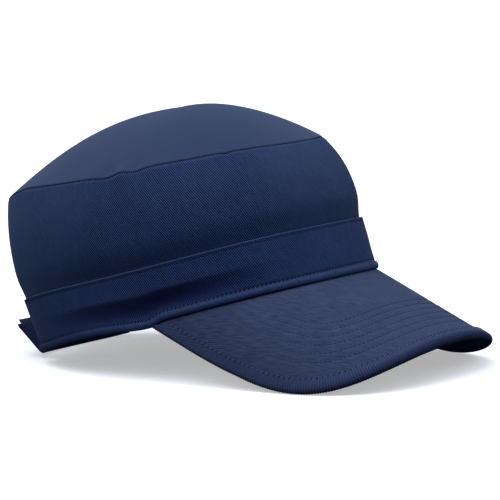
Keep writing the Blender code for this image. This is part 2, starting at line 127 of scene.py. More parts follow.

# Painted light: the wall is painted a little paler at the back and at the very front, more so towards
# its top
WALL_PAINTED_LIGHT = 0.28
REAR_LIGHT_ANGLE = radians(80)
REAR_LIGHT_FADE = radians(25)
FRONT_LIGHT_ANGLE = radians(34)
FRONT_LIGHT_FADE = radians(30)
PAINTED_LIGHT_RISE = 0.55

# The twill shows less on the back half, past the side seams, and at the very front
BACK_CLEARNESS = 0.40
FRONT_CLEARNESS = 0.45

# Soft dents and swellings of the wall: place and spread round the cap in degrees, place and spread
# up the wall as shares of it, and depth in metres
Dent = namedtuple("Dent", "angle spread level rise depth")
WALL_DENTS = (
    Dent(39, 1.6, 0.95, 0.09, 0.0007),
    Dent(72, 2.4, 0.86, 0.20, 0.0005),
    Dent(98, 7.0, 0.60, 0.50, -0.0006),
    Dent(84, 4.0, 0.90, 0.25, 0.0005),
    Dent(124, 9.0, 0.45, 0.50, 0.0007),
    Dent(-36, 1.8, 0.95, 0.10, 0.0006),
    Dent(-75, 3.0, 0.84, 0.24, 0.0005),
    Dent(-104, 8.0, 0.55, 0.50, -0.0006),
    Dent(-130, 9.0, 0.50, 0.40, 0.0007),
    Dent(176, 10.0, 0.75, 0.30, -0.0005),
)

# Kinks of the top seam, and how far from it they are gone
KINK_REACH = 0.011
SEAM_KINKS = (
    Kink(84.5, 4.0, -0.0011),
    Kink(78.5, 2.2, 0.0007),
    Kink(73.0, 2.4, -0.0007),
    Kink(64.0, 6.0, 0.0005),
    Kink(122.0, 9.0, 0.0006),
    Kink(38.5, 1.5, -0.0005),
    Kink(-82.0, 3.5, -0.0009),
    Kink(-76.0, 2.5, 0.0006),
    Kink(-118.0, 8.0, 0.0005),
    Kink(-35.0, 2.0, -0.0005),
)


def signed_power(value, power):
    """Power of a value's size, with the value's sign."""
    return np.sign(value) * np.abs(value) ** power


def smooth(share):
    """Ease from 0 to 1."""
    share = np.clip(share, 0.0, 1.0)
    return share * share * (3.0 - 2.0 * share)


def blend(start, end, share):
    """Value at a share of the way from start to end."""
    return start * (1.0 - share) + end * share


def hump(distance, width):
    """Rounded swelling of height 1 that is gone about two widths away."""
    return np.exp(-((distance / width) ** 2))


def around(stations, angle):
    """Smooth value at angles round the cap, through its five stations."""
    last = len(stations) - 1
    total = 0.0
    for wave in range(last + 1):
        share = 0.0
        for place, value in enumerate(stations):
            weight = 0.5 if place in (0, last) else 1.0
            share += weight * value * cos(pi * wave * place / last)
        share *= (1.0 if wave in (0, last) else 2.0) / last
        total = total + share * np.cos(wave * angle)
    return total


def ring_point(angle, out, height, roundness=RIM_ROUNDNESS):
    """Points of a rounded oval ring, moved out from it by a length."""
    angle, out, height = np.broadcast_arrays(angle, out, height)
    reach = np.where(np.cos(angle) > 0.0, FRONT_REACH, BACK_REACH)
    across = -signed_power(np.sin(angle), 2.0 / roundness)
    along = -signed_power(np.cos(angle), 2.0 / roundness)
    normal_x = signed_power(across, roundness - 1.0) / HALF_WIDTH
    normal_y = signed_power(along, roundness - 1.0) / reach
    size = np.hypot(normal_x, normal_y)
    return np.stack([
        across * HALF_WIDTH + normal_x / size * out,
        along * reach + normal_y / size * out,
        height,
    ], -1)


def signed_turn(angle):
    """Angle brought to between -pi and pi."""
    return (angle + pi) % (2.0 * pi) - pi


def turned_from_front(angle):
    """Angle folded to 0 at the front and pi at the back, alike on both sides."""
    return np.abs(signed_turn(angle))


def kinks_at(angle, kinks):
    """How far kinks pull a seam up at angles round the cap."""
    degrees = np.degrees(signed_turn(angle))
    return sum(kink.rise * hump(degrees - kink.angle, kink.spread) for kink in kinks)


def rim_height(angle):
    """Height of the band's foot, with its sag and kinks."""
    past = turned_from_front(angle) - PEAK_REACH - SAG_START
    sag = smooth(past / SAG_RISE) * (1.0 - smooth((past - SAG_RISE) / SAG_FALL))
    return BAND_HEIGHT * around(RIM_RISE, angle) - HEM_SAG * sag + kinks_at(angle, HEM_KINKS)


def band_top_height(angle):
    """Height of the band's folded edge."""
    return BAND_HEIGHT * around(BAND_TOP_RISE, angle)


def pinch(angle, share):
    """How far the band is drawn in just above its hem, beside each corner of the peak."""
    along = ((turned_from_front(angle) - PEAK_REACH) / PINCH_LENGTH) ** 2
    across = ((share - PINCH_CENTRE) / PINCH_SPREAD) ** 2
    return PINCH_DEPTH * 2.0 ** (-along) * np.maximum(0.0, 1.0 - across)


def band_point(angle, share, out):
    """Points on the outer face of the band, from the rim (0) to its folded top edge (1)."""
    stand = HALF_WIDTH * blend(around(RIM_OUT, angle), around(BAND_TOP_OUT, angle), share)
    height = blend(rim_height(angle), band_top_height(angle), share)
    return ring_point(angle, stand + out - pinch(angle, share), height)


def seam_point(angle, lift):
    """Points of the seam between the wall and the top panel."""
    out = HALF_WIDTH * around(SEAM_OUT, angle)
    return ring_point(angle, out, CROWN_HEIGHT * around(SEAM_RISE, angle) + lift, CROWN_ROUNDNESS)


def seam_kink(angle, distance):
    """How far the cloth is pulled up at a distance from the seam."""
    return kinks_at(angle, SEAM_KINKS) * (1.0 - smooth(distance / KINK_REACH))


def outward(points):
    """Level unit vectors that point away from the cap's middle."""
    level = points * (1.0, 1.0, 0.0)
    return level / np.linalg.norm(level, axis=-1, keepdims=True)


def wall_relief(angle, level):
    """How far the wall stands out for its seams, dents and swellings."""
    degrees = np.degrees(signed_turn(angle))
    relief = 0.0
    for dent in WALL_DENTS:
        turn = (degrees - dent.angle + 180.0) % 360.0 - 180.0
        relief = relief - dent.depth * hump(turn, dent.spread) * hump(level - dent.level, dent.rise)
    from_seam = (turned_from_front(angle) - SIDE_SEAM_ANGLE) * HALF_WIDTH
    relief = relief + 0.4 * SIDE_SEAM_DEPTH * hump(from_seam, 8.0 * SIDE_SEAM_WIDTH)
    return relief - SIDE_SEAM_DEPTH * hump(from_seam, SIDE_SEAM_WIDTH)


def seam_roll(distance):
    """Share of the tuck at a distance from the top seam."""
    return 1.0 - smooth(distance / SEAM_ROLL)


def seam_marks(distance):
    """Painted shade in the top seam's valley and painted highlight where its roll ends, at a distance
    from the seam.
    """
    sunk = SEAM_SHADE * hump(distance, SEAM_ROLL / 4.0)
    return sunk, SEAM_HIGHLIGHT * hump(distance - SEAM_ROLL, SEAM_ROLL / 3.0)


def wall_point(angle, level):
    """Points on the outer face of the wall: level 0 at the band's top edge, 1 at the top seam."""
    angle, level = np.broadcast_arrays(angle, level)
    behind_band = -(BAND_CLOTH + CLEARANCE)
    hidden = band_point(angle, 1.0 + level, behind_band)
    foot = band_point(angle, 1.0, behind_band * (1.0 - smooth(level / WALL_STEP_OUT)))
    seam = seam_point(angle, 0.0)
    up = np.maximum(level, 0.0)
    rise = up ** BULGE_SKEW
    bulge = HALF_WIDTH * around(WALL_BULGE, angle) * 4.0 * rise * (1.0 - rise)
    bulge = bulge + wall_relief(angle, level) * smooth(up / WALL_STEP_OUT)
    bulge = bulge - SEAM_TUCK * seam_roll((1.0 - level) * WALL_HEIGHT)
    shown = blend(foot, seam, up[..., None])
    shown = shown + outward(shown) * bulge[..., None]
    shown[..., 2] += seam_kink(angle, (1.0 - level) * WALL_HEIGHT)
    return np.where(level[..., None] <= 0.0, hidden, shown)


def opening_level(angle):
    """Level of the wall's lower edge: at the rim, or raised over the opening at the back."""
    turn = np.minimum((pi - turned_from_front(angle)) / OPENING_HALF_ANGLE, 1.0)
    arch = np.maximum(1.0 - turn ** OPENING_SQUARENESS, 0.0) ** (1.0 / OPENING_SQUARENESS)
    height = OPENING_HEIGHT * arch
    band_top = band_top_height(angle)
    below = np.maximum(WALL_LOW, height / band_top - 1.0)
    above = (height - band_top) / (seam_point(angle, 0.0)[..., 2] - band_top)
    return np.where(height < band_top, below, above)


def run_along(points):
    """Lengths along a row of points, from its first one."""
    steps = np.linalg.norm(np.diff(points, axis=0), axis=-1)
    return np.concatenate([[0.0], np.cumsum(steps)])


def at_rest(points):
    """Points of the worn cap, where they are when it lies on the floor."""
    return points @ LEANED.T + RIM_CENTRE


def sew(name, points, flat, ring=False, tube=False, **marks):
    """Mesh skinned over rows of points, with a UV map of its flat pattern in metres.

    A ring's last column lies on its first one, and so does a tube's last row. Marks are shares from
    0 to 1 at each point: how clear the twill shows, where the colour is painted paler (partly wear,
    partly painted highlight) and where it gets painted shade.
    """
    rows, columns = points.shape[:2]
    number = np.arange(rows * columns).reshape(rows, columns)
    if ring:
        number[:, -1] = number[:, 0]
    if tube:
        number[-1] = number[0]

    def corners(grid):
        faces = np.stack([grid[:-1, :-1], grid[1:, :-1], grid[1:, 1:], grid[:-1, 1:]], 2)
        return faces.reshape(-1, *faces.shape[3:])

    faces = corners(number)
    used, faces = np.unique(faces, return_inverse=True)
    faces = faces.reshape(-1, 4).tolist()
    unwrapped = corners(flat).reshape(-1, 2)
    if tube and not ring:
        place = {old: new for new, old in enumerate(used)}
        for column in (0, columns - 1):
            faces.append([place[value] for value in number[:-1, column]])
            unwrapped = np.concatenate([unwrapped, flat[:-1, column]])
    mesh = bpy.data.meshes.new(name)
    mesh.from_pydata(at_rest(points.reshape(-1, 3)[used]).tolist(), [], faces)
    mesh.uv_layers.new(name="flat").data.foreach_set("uv", unwrapped.astype(np.float32).ravel())
    for mark, share in marks.items():
        share = np.broadcast_to(share, (rows, columns)).ravel()[used].astype(np.float32)
        mesh.attributes.new(mark, "FLOAT", "POINT").data.foreach_set("value", share)
    shape = bmesh.new()
    shape.from_mesh(mesh)
    bmesh.ops.remove_doubles(shape, verts=shape.verts, dist=1e-6)
    if tube:
        bmesh.ops.recalc_face_normals(shape, faces=shape.faces)
    shape.to_mesh(mesh)
    shape.free()
    mesh.shade_smooth()
    mesh.set_sharp_from_angle(angle=radians(50))
    return mesh


def add_object(name, data):
    """Object of the scene with its own data."""
    added = bpy.data.objects.new(name, data)
    bpy.context.scene.collection.objects.link(added)
    return added


def make_plain(piece):
    """Turn a piece and its modifiers into one plain mesh."""
    evaluated = piece.evaluated_get(bpy.context.evaluated_depsgraph_get())
    mesh = bpy.data.meshes.new_from_object(evaluated)
    piece.modifiers.clear()
    piece.data = mesh
    mesh.name = piece.name
    return piece


def make_piece(mesh, material, thickness=0.0):
    """Object for a mesh; a thickness is added on the inner side of its cloth."""
    mesh.materials.append(material)
    piece = add_object(mesh.name, mesh)
    if thickness:
        cloth = piece.modifiers.new("cloth", "SOLIDIFY")
        cloth.thickness = thickness
        cloth.offset = -1.0
        make_plain(piece)
    return piece


class Sum:
    """Value from a tree's nodes that takes part in sums."""

    def __init__(self, tree, socket):
        self.tree = tree
        self.socket = socket

    def math(self, operation, *others):
        sockets = dict(enumerate([self, *others]))
        return self.tree.value("ShaderNodeMath", {"operation": operation}, sockets)

    def __add__(self, other):
        return self.math("ADD", other)

    def __mul__(self, other):
        return self.math("MULTIPLY", other)

    def __sub__(self, other):
        return self.math("SUBTRACT", other)

    def __truediv__(self, other):
        return self.math("DIVIDE", other)

    def __pow__(self, other):
        return self.math("POWER", other)

    def __rsub__(self, other):
        return self * -1.0 + other

    __radd__ = __add__
    __rmul__ = __mul__


class Tree:
    """Node tree of a material or a modifier, built one node at a time."""

    def __init__(self, tree):
        self.tree = tree
        tree.nodes.clear()

    def node(self, kind, settings=None, sockets=None):
        """Add a node, with its settings made first and its sockets filled or linked after."""
        made = self.tree.nodes.new(kind)
        for name, value in (settings or {}).items():
            setattr(made, name, value)
        for name, value in (sockets or {}).items():
            if isinstance(value, Sum):
                self.tree.links.new(value.socket, made.inputs[name])
            elif isinstance(value, bpy.types.NodeSocket):
                self.tree.links.new(value, made.inputs[name])
            else:
                made.inputs[name].default_value = value
        return made

    def first(self, kind, settings=None, sockets=None):
        """First output of a new node."""
        return self.node(kind, settings, sockets).outputs[0]

    def value(self, kind, settings=None, sockets=None, output=0):
        """Output of a new node, ready for sums."""
        return Sum(self, self.node(kind, settings, sockets).outputs[output])

    def noise(self, place, scale, detail=2.0):
        """Noise from 0 to 1 with so many lumps to the metre."""
        sockets = {"Vector": place, "Scale": scale, "Detail": detail}
        return self.value("ShaderNodeTexNoise", None, sockets, "Fac")

    def mark(self, name):
        """Share that a piece has at each of its points."""
        return self.value("ShaderNodeAttribute", {"attribute_name": name}, None, "Fac")

    def mix_colour(self, share, first, second):
        """Colour between two colours or colour sockets."""
        sockets = {0: share, 6: first, 7: second}
        return self.node("ShaderNodeMix", {"data_type": "RGBA"}, sockets).outputs[2]

    def ease(self, value, start, end, low, high):
        """Value eased from low to high while another goes from start to end."""
        sockets = {"Value": value, "From Min": start, "From Max": end, "To Min": low, "To Max": high}
        return self.value("ShaderNodeMapRange", {"interpolation_type": "SMOOTHSTEP"}, sockets)

    def surface(self, sockets):
        """Principled surface that ends a material's tree."""
        shader = self.node("ShaderNodeBsdfPrincipled", None, sockets)
        self.node("ShaderNodeOutputMaterial", None, {"Surface": shader.outputs[0]})


def new_material(name):
    """Material and its empty tree."""
    material = bpy.data.materials.new(name)
    material.use_nodes = True
    return material, Tree(material.node_tree)


# A twill's colours between its ribs and in them, how clearly the ribs show, how uneven its yarn
# looks, and its nap
Twill = namedtuple("Twill", "ground rib show slub sheen")
RIB_PITCH = 0.00104
RIB_SLOPE = radians(63)
YARN_PITCH = 0.00120
YARN_OFFSET = 0.37
RIB_HEIGHT = 0.00015
RIB_SHARPNESS = 2.5
RIB_MEAN = 0.34

# Unevenness of the cloth: how strong it is, and how many lumps of it come to a metre, or to a rib
SWAY = 0.6
SWAY_LUMPS = 110.0
CLOUD = 0.2
CLOUD_LUMPS = 45.0
SLUB_LUMPS = 1.3
SLUB_STRETCH = 0.14
# Colours that the painted shade and the paler edges (partly wear, partly painted highlight) blend
# towards
WEAR_AND_HIGHLIGHT_NAVY = (0.0560, 0.0780, 0.1500, 1.0)
PAINTED_SHADE_NAVY = (0.0002, 0.0010, 0.0250, 1.0)


def twill(name, cloth, slope=RIB_SLOPE):
    """Cotton twill: slanting ribs of short floats, uneven yarn and a dull nap."""
    material, tree = new_material(name)
    flat = tree.node("ShaderNodeUVMap", {"uv_map": "flat"}).outputs["UV"]
    split = tree.node("ShaderNodeSeparateXYZ", None, {0: flat})
    u = Sum(tree, split.outputs[0])
    v = Sum(tree, split.outputs[1])
    sway = tree.noise(flat, SWAY_LUMPS) - 0.5
    across = (u * sin(slope) - v * cos(slope)) / RIB_PITCH + sway * SWAY
    along = (u * cos(slope) + v * sin(slope)) / YARN_PITCH + across.math("FLOOR") * YARN_OFFSET
    rib = ((across * (2.0 * pi)).math("COSINE") * 0.5 + 0.5) ** RIB_SHARPNESS
    yarn = (along * (2.0 * pi)).math("COSINE") * 0.5 + 0.5
    streaks = tree.first("ShaderNodeCombineXYZ", None, {0: across, 1: along * SLUB_STRETCH})
    slub = tree.noise(streaks, SLUB_LUMPS, 3.0) - 0.5
    cloud = tree.noise(flat, CLOUD_LUMPS, 3.0) - 0.5
    show = tree.mark("clear") * cloth.show
    lit = (rib * (yarn * 0.7 + 0.65) - RIB_MEAN) * show + slub * cloth.slub + cloud * CLOUD + RIB_MEAN
    lit = Sum(tree, tree.first("ShaderNodeClamp", None, {"Value": lit}))
    colour = tree.mix_colour(lit, (*cloth.ground, 1.0), (*cloth.rib, 1.0))
    # Painted shade: creases, valleys and undersides are darkened towards a deep navy
    colour = tree.mix_colour(tree.mark("sunk"), colour, PAINTED_SHADE_NAVY)
    # Edges are painted paler: partly wear, partly painted highlight
    colour = tree.mix_colour(tree.mark("rubbed") * (slub * 1.6 + 0.8), colour, WEAR_AND_HIGHLIGHT_NAVY)
    bump = tree.node("ShaderNodeBump", None, {
        "Strength": 0.6,
        "Distance": RIB_HEIGHT,
        "Height": rib * (yarn * 0.35 + 0.65) * show + slub * 0.7,
    })
    tree.surface({
        "Base Color": colour,
        "Roughness": 0.88 - rib * 0.08,
        "Specular IOR Level": 0.07,
        "Sheen Weight": cloth.sheen,
        "Sheen Roughness": 0.5,
        "Sheen Tint": (0.72, 0.82, 1.0, 1.0),
        "Normal": bump.outputs[0],
    })
    return material


def wall_angles():
    """Angles of the wall's columns, closer together at its seams and at the arch's sides."""
    even = np.linspace(-pi, pi, WALL_COLUMNS + 1)
    near = np.linspace(-3.0, 3.0, SEAM_COLUMNS) * SIDE_SEAM_WIDTH / HALF_WIDTH
    turns = np.sqrt(np.sin(np.linspace(0.0, pi / 2.0, ARCH_COLUMNS)))
    arch = OPENING_HALF_ANGLE * turns
    extra = [near + SIDE_SEAM_ANGLE, near - SIDE_SEAM_ANGLE, pi - arch, arch - pi]
    return np.unique(np.round(np.concatenate([even, *extra]), 5))


def twill_clearness(angle):
    """How clear the twill's ribs show round the cap."""
    turn = turned_from_front(angle)
    back = blend(1.0, BACK_CLEARNESS, smooth((turn - SIDE_SEAM_ANGLE) / radians(12)))
    return back * blend(FRONT_CLEARNESS, 1.0, smooth((turn - radians(5)) / radians(40)))


def make_wall():
    """Tube of cloth from behind the band to the top seam, cut away over the tabs."""
    angles = wall_angles()
    shares = np.linspace(0.0, 1.0, WALL_ROWS + 1)
    roll = SEAM_ROLL / WALL_HEIGHT
    shares = np.unique(np.concatenate([shares, 1.0 - roll * np.linspace(0.0, 1.0, ROLL_ROWS)]))[:, None]
    level = blend(opening_level(angles)[None, :], 1.0, shares)
    points = wall_point(angles[None, :], level)
    points[-1, :, 2] -= CLEARANCE / 2.0
    run = run_along(wall_point(angles, 0.5))
    height = BAND_HEIGHT * np.minimum(level, 0.0) + WALL_HEIGHT * np.maximum(level, 0.0)
    flat = np.stack([np.broadcast_to(run, level.shape), height], -1)
    sunk, rubbed = seam_marks((1.0 - level) * WALL_HEIGHT)
    above_band = level * WALL_HEIGHT
    turn = turned_from_front(angles)
    # Painted shade just above the band's fold, broader where the sides are drawn in
    fold_shade = TUCK_SHADE * hump(above_band, TUCK_HEIGHT)
    shaded = WALL_SHADE * hump(above_band, SHADE_HEIGHT) * hump(turn - SHADE_ANGLE, SHADE_SPREAD)
    # Painted light: paler at the back and the very front, more so higher up
    rear = smooth((turn - REAR_LIGHT_ANGLE) / REAR_LIGHT_FADE) * smooth((level - 0.30) / PAINTED_LIGHT_RISE)
    front = smooth((FRONT_LIGHT_ANGLE - turn) / FRONT_LIGHT_FADE) * smooth((level + 0.10) / PAINTED_LIGHT_RISE)
    return sew(
        "crown_wall_cloth", points, flat, ring=True,
        clear=twill_clearness(angles),
        sunk=np.maximum(sunk, np.maximum(fold_shade, shaded)),
        rubbed=np.maximum(rubbed, WALL_PAINTED_LIGHT * (rear + front)),
    )


STITCH_SEED = 7
STITCH_UNEVEN = 0.12


def new_geometry_tree(name, numbers, material):
    """Geometry Nodes tree with a geometry in and out, number inputs and a material input."""
    group = bpy.data.node_groups.new(name, "GeometryNodeTree")
    group.interface.new_socket("Geometry", in_out="INPUT", socket_type="NodeSocketGeometry")
    group.interface.new_socket("Geometry", in_out="OUTPUT", socket_type="NodeSocketGeometry")
    for title in numbers:
        group.interface.new_socket(title, in_out="INPUT", socket_type="NodeSocketFloat")
    group.interface.new_socket(material, in_out="INPUT", socket_type="NodeSocketMaterial")
    return group


def stitch_tree():
    """Stitches laid along lines: short rounded threads, each turned to its line and its cloth."""
    group = new_geometry_tree("stitches", ("Pitch", "Length", "Width", "Height", "Slant"), "Thread")
    tree = Tree(group)
    given = tree.node("NodeGroupInput").outputs
    lines = tree.first("GeometryNodeMeshToCurve", None, {"Mesh": given["Geometry"]})
    spaced = tree.first("GeometryNodeResampleCurve", {"mode": "LENGTH"}, {
        "Curve": lines,
        "Length": given["Pitch"],
    })
    outside = tree.node("GeometryNodeInputNamedAttribute", {"data_type": "FLOAT_VECTOR"}, {"Name": "up"})
    turned = tree.first("FunctionNodeAxesToRotation", {"primary_axis": "X", "secondary_axis": "Z"}, {
        "Primary Axis": tree.first("GeometryNodeInputTangent"),
        "Secondary Axis": outside.outputs[0],
    })
    uneven = tree.node("FunctionNodeRandomValue", {"data_type": "FLOAT"}, {
        "Min": -STITCH_UNEVEN,
        "Max": STITCH_UNEVEN,
        "Seed": STITCH_SEED,
    }).outputs[1]
    slant = tree.first("FunctionNodeAxisAngleToRotation", None, {
        "Axis": (0.0, 0.0, 1.0),
        "Angle": Sum(tree, given["Slant"]) + uneven,
    })
    turned = tree.first("FunctionNodeRotateRotation", {"rotation_space": "LOCAL"}, {
        "Rotation": turned,
        "Rotate By": slant,
    })
    size = tree.first("ShaderNodeCombineXYZ", None, {
        0: given["Length"],
        1: given["Width"],
        2: given["Height"],
    })
    bead = tree.node("GeometryNodeMeshUVSphere", None, {"Segments": 6, "Rings": 4, "Radius": 0.5})
    thread = tree.first("GeometryNodeTransform", None, {0: bead.outputs[0], "Scale": size})
    laid = tree.first("GeometryNodeInstanceOnPoints", None, {
        "Points": spaced,
        "Instance": thread,
        "Rotation": turned,
    })
    real = tree.first("GeometryNodeRealizeInstances", None, {0: laid})
    soft = tree.first("GeometryNodeSetShadeSmooth", None, {0: real})
    dyed = tree.first("GeometryNodeSetMaterial", None, {0: soft, "Material": given["Thread"]})
    tree.node("NodeGroupOutput", None, {0: dyed})
    return group


def run_tree(piece, group, values):
    """Run a Geometry Nodes tree on a piece, with its named inputs, and keep the plain mesh."""
    modifier = piece.modifiers.new(group.name, "NODES")
    modifier.node_group = group
    for socket in group.interface.items_tree:
        if socket.name in values:
            modifier[socket.identifier] = values[socket.name]
    return make_plain(piece)


def sewing_thread(name, dark, light):
    """Spun thread with a slight twist."""
    material, tree = new_material(name)
    place = tree.node("ShaderNodeTexCoord").outputs["Object"]
    fibre = tree.noise(place, 2500.0, 2.0)
    tree.surface({
        "Base Color": tree.mix_colour(fibre, (*dark, 1.0), (*light, 1.0)),
        "Roughness": fibre * 0.2 + 0.6,
        "Specular IOR Level": 0.25,
    })
    return material


STITCHES = stitch_tree()
# Painted shade: the seam thread is near-black to stand in for the shadow the stitches sit in
SEAM_THREAD_PAINTED_SHADE = sewing_thread("seam_thread_painted_shade", (0.0008, 0.0020, 0.0110), (0.0040, 0.0080, 0.0280))
Stitch = namedtuple("Stitch", "pitch length width height slant thread")


def sew_rows(name, rows, stitch):
    """Rows of stitches along lines of points with the directions that face out of the cloth."""
    points = []
    facing = []
    edges = []
    for line, outside in rows:
        first = len(points)
        points += at_rest(line).tolist()
        facing.append(np.broadcast_to(outside, line.shape) @ LEANED.T)
        edges += [(place, place + 1) for place in range(first, len(points) - 1)]
    mesh = bpy.data.meshes.new(name)
    mesh.from_pydata(points, edges, [])
    up = np.concatenate(facing).astype(np.float32)
    mesh.attributes.new("up", "FLOAT_VECTOR", "POINT").data.foreach_set("vector", up.ravel())
    piece = add_object(name, mesh)
    run_tree(piece, STITCHES, {part.capitalize(): value for part, value in stitch._asdict().items()})
    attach(piece, "root")
    return piece


WALL_TWILL = Twill((0.0005, 0.0030, 0.0260), (0.0460, 0.0870, 0.1940), 1.0, 0.4, 0.06)
wall = make_piece(make_wall(), twill("wall_twill", WALL_TWILL), CROWN_CLOTH)
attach(wall, "root")
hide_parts("crown_wall")

# The arch over the tabs is turned in and sewn down beside its edge
ARCH_STITCH = Stitch(0.0026, 0.0019, 0.0004, 0.0004, 0.0, SEAM_THREAD_PAINTED_SHADE)
ARCH_INSET = 0.0030
arch_angles = np.linspace(-0.86, 0.86, 81) * OPENING_HALF_ANGLE + pi
arch_height = ARCH_INSET / WALL_HEIGHT
arch_levels = opening_level(arch_angles) + arch_height
arch_rows = wall_point(arch_angles, np.maximum(arch_levels, 0.0))
seen = arch_levels > 0.01
sew_rows("arch_stitches", [(arch_rows[seen], outward(arch_rows[seen]))], ARCH_STITCH)


# Top panel
# One domed piece of the same twill over a soft stiffener. Its edge is turned in and sewn to the
# wall, so the seam between them sinks a little under the cloth on both sides.

DOME_RISE = 0.0315
DOME_FULLNESS = 1.72
DOME_SOFTNESS = 0.30
DOME_BACK_LIFT = Stations(0.000, 0.000, 0.020, 0.130, 0.130)
DOME_CENTRE = -0.153 * FRONT_REACH
DOME_BASE = 0.976 * CROWN_HEIGHT
TOP_COLUMNS = 360
TOP_ROWS = 70


def dome_fall(ring):
    """Share of the dome's rise that is lost at a ring, with a rounded middle."""
    soft = DOME_SOFTNESS ** DOME_FULLNESS
    span = (1.0 + DOME_SOFTNESS ** 2) ** (DOME_FULLNESS / 2.0) - soft
    return ((ring ** 2 + DOME_SOFTNESS ** 2) ** (DOME_FULLNESS / 2.0) - soft) / span


def top_point(angle, ring):
    """Points on the outer face of the top panel, from its centre (0) to the seam (1)."""
    seam = seam_point(angle, CLEARANCE / 2.0)
    height = blend(DOME_BASE, seam[..., 2], ring ** 2) + DOME_RISE * (1.0 - dome_fall(ring))
    height = height + DOME_RISE * around(DOME_BACK_LIFT, angle) * np.sin(pi * ring)
    height = height + seam_kink(angle, (1.0 - ring) * HALF_WIDTH)
    points = np.stack([seam[..., 0] * ring, blend(DOME_CENTRE, seam[..., 1], ring), height], -1)
    return points - SEAM_TUCK * outward(seam) * seam_roll((1.0 - ring) * HALF_WIDTH)[..., None]


def make_top():
    """Dome of cloth inside the top seam, finer towards the seam."""
    angles = np.linspace(-pi, pi, TOP_COLUMNS + 1)[None, :]
    rings = 1.0 - np.linspace(0.0, 1.0, TOP_ROWS + 1)[:, None] ** 1.2
    points = top_point(angles, rings)
    sunk, rubbed = seam_marks((1.0 - rings) * HALF_WIDTH)
    flat = points[..., :2]
    return sew("crown_top_cloth", points, flat, ring=True, clear=0.5, sunk=sunk, rubbed=rubbed)


# Painted light: the top's twill is painted lighter and greyer than the wall's, for the light on its
# upward face
TOP_TWILL_PAINTED_LIGHT = Twill((0.0130, 0.0240, 0.0600), (0.0320, 0.0490, 0.0960), 0.5, 0.3, 0.20)
top = make_piece(make_top(), twill("top_twill", TOP_TWILL_PAINTED_LIGHT, -RIB_SLOPE), CROWN_CLOTH)
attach(top, "root")
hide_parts("crown_top")

# The seam is sewn over and over, with short slanting stitches in the valley between the two cloths
TOP_SEAM_STITCH = Stitch(0.0024, 0.0019, 0.0009, 0.0007, radians(30), SEAM_THREAD_PAINTED_SHADE)
seam_angles = np.linspace(-pi, pi, 401)
seam_rows = wall_point(seam_angles, 1.0)
seam_facing = outward(seam_rows) + (0.0, 0.0, 0.6)
sew_rows("top_seam_stitches", [(seam_rows, seam_facing)], TOP_SEAM_STITCH)


# Band
# A strip of twill folded over at its top edge and stitched along it. Its foot is rolled over a
# soft filling into a hem, with a row of slanting stitches in the crease above the roll.

HEM_HEIGHT = 0.0043
HEM_BULGE = 0.0011
HEM_CREASE = 0.0006
HEM_CREASE_SHARE = 0.05
HEM_ROW_LIFT = 0.0003
HEM_ROW_SINK = 0.0005
PINCH_SHADE = 0.88
PINCH_SHADE_POWER = 0.65
FOLD_ROW_INSET = 0.0017
FOLD_ROW_SINK = 0.0001
FOLD_RADIUS = 0.0005
FOLD_HIGHLIGHT = 0.8
BAND_COLUMNS = 520
HEM_ROWS = 16
WEB_ROWS = 26

# The stitches along the fold hold the cloth down in a shallow groove
GROOVE_DEPTH = 0.0002
GROOVE_WIDTH = 0.0006

# The hem's roll gets a painted highlight in front of this angle, painted shade behind it and underneath,
# and painted shade in the crease above it
HEM_HIGHLIGHT_ANGLE = radians(78)
HEM_HIGHLIGHT_FADE = radians(35)
HEM_HIGHLIGHT = 0.40
HEM_UNDER_SHADE = 0.9
HEM_BACK_SHADE = 0.4
CREASE_SHADE = 0.5


def band_section(angle):
    """Closed section of the band: share of its height, out, painted highlight and painted shade for each
    angle.
    """
    height = band_top_height(angle) - rim_height(angle)
    hem = HEM_HEIGHT / height
    back = smooth((np.abs(angle) - HEM_HIGHLIGHT_ANGLE) / HEM_HIGHLIGHT_FADE)
    rows = []
    for turn in np.radians(np.linspace(-86, 70, HEM_ROWS)):
        hem_highlight = HEM_HIGHLIGHT * (hump(turn - radians(25), radians(30)) * (1.0 - 0.85 * back))
        under = HEM_UNDER_SHADE * smooth((radians(-35) - turn) / radians(40))
        sunk = np.maximum(under, HEM_BACK_SHADE * back)
        rows.append((hem / 2.0 * (1.0 + sin(turn)), HEM_BULGE * cos(turn), hem_highlight, sunk))
    # Painted shade in the crease above the hem, in the groove under the fold's stitches, and where the
    # band is pinched beside the peak
    rows.append((hem, -HEM_CREASE * 0.6, 0.0, CREASE_SHADE))
    rows.append((hem + 0.35 * HEM_CREASE / height, -HEM_CREASE, 0.0, CREASE_SHADE))
    for share in np.linspace(0.03, 0.965, WEB_ROWS):
        crease = hump(share, HEM_CREASE_SHARE)
        groove = hump((1.0 - share) * BAND_HEIGHT - FOLD_ROW_INSET, GROOVE_WIDTH)
        settle = -HEM_CREASE * 0.5 * crease - GROOVE_DEPTH * groove
        pinch_shade = (pinch(angle, blend(hem, 1.0, share)) / PINCH_DEPTH) ** PINCH_SHADE_POWER
        sunk = np.maximum(max(0.45 * crease, CREASE_SHADE * groove), PINCH_SHADE * pinch_shade)
        rows.append((blend(hem, 1.0, share), settle, 0.0, sunk))
    for turn in np.radians(np.linspace(0, 160, 7)):
        up = 1.0 - FOLD_RADIUS * (1.0 - sin(turn)) / height
        # Painted highlight along the fold's rounded top edge
        edge = hump(turn - radians(70), radians(50))
        rows.append((up, FOLD_RADIUS * (cos(turn) - 0.8), FOLD_HIGHLIGHT * edge, 0.0))
    for share in (0.94, 0.7, 0.4, 0.15, 0.0):
        rows.append((share, -BAND_CLOTH, 0.0, 0.0))
    return rows


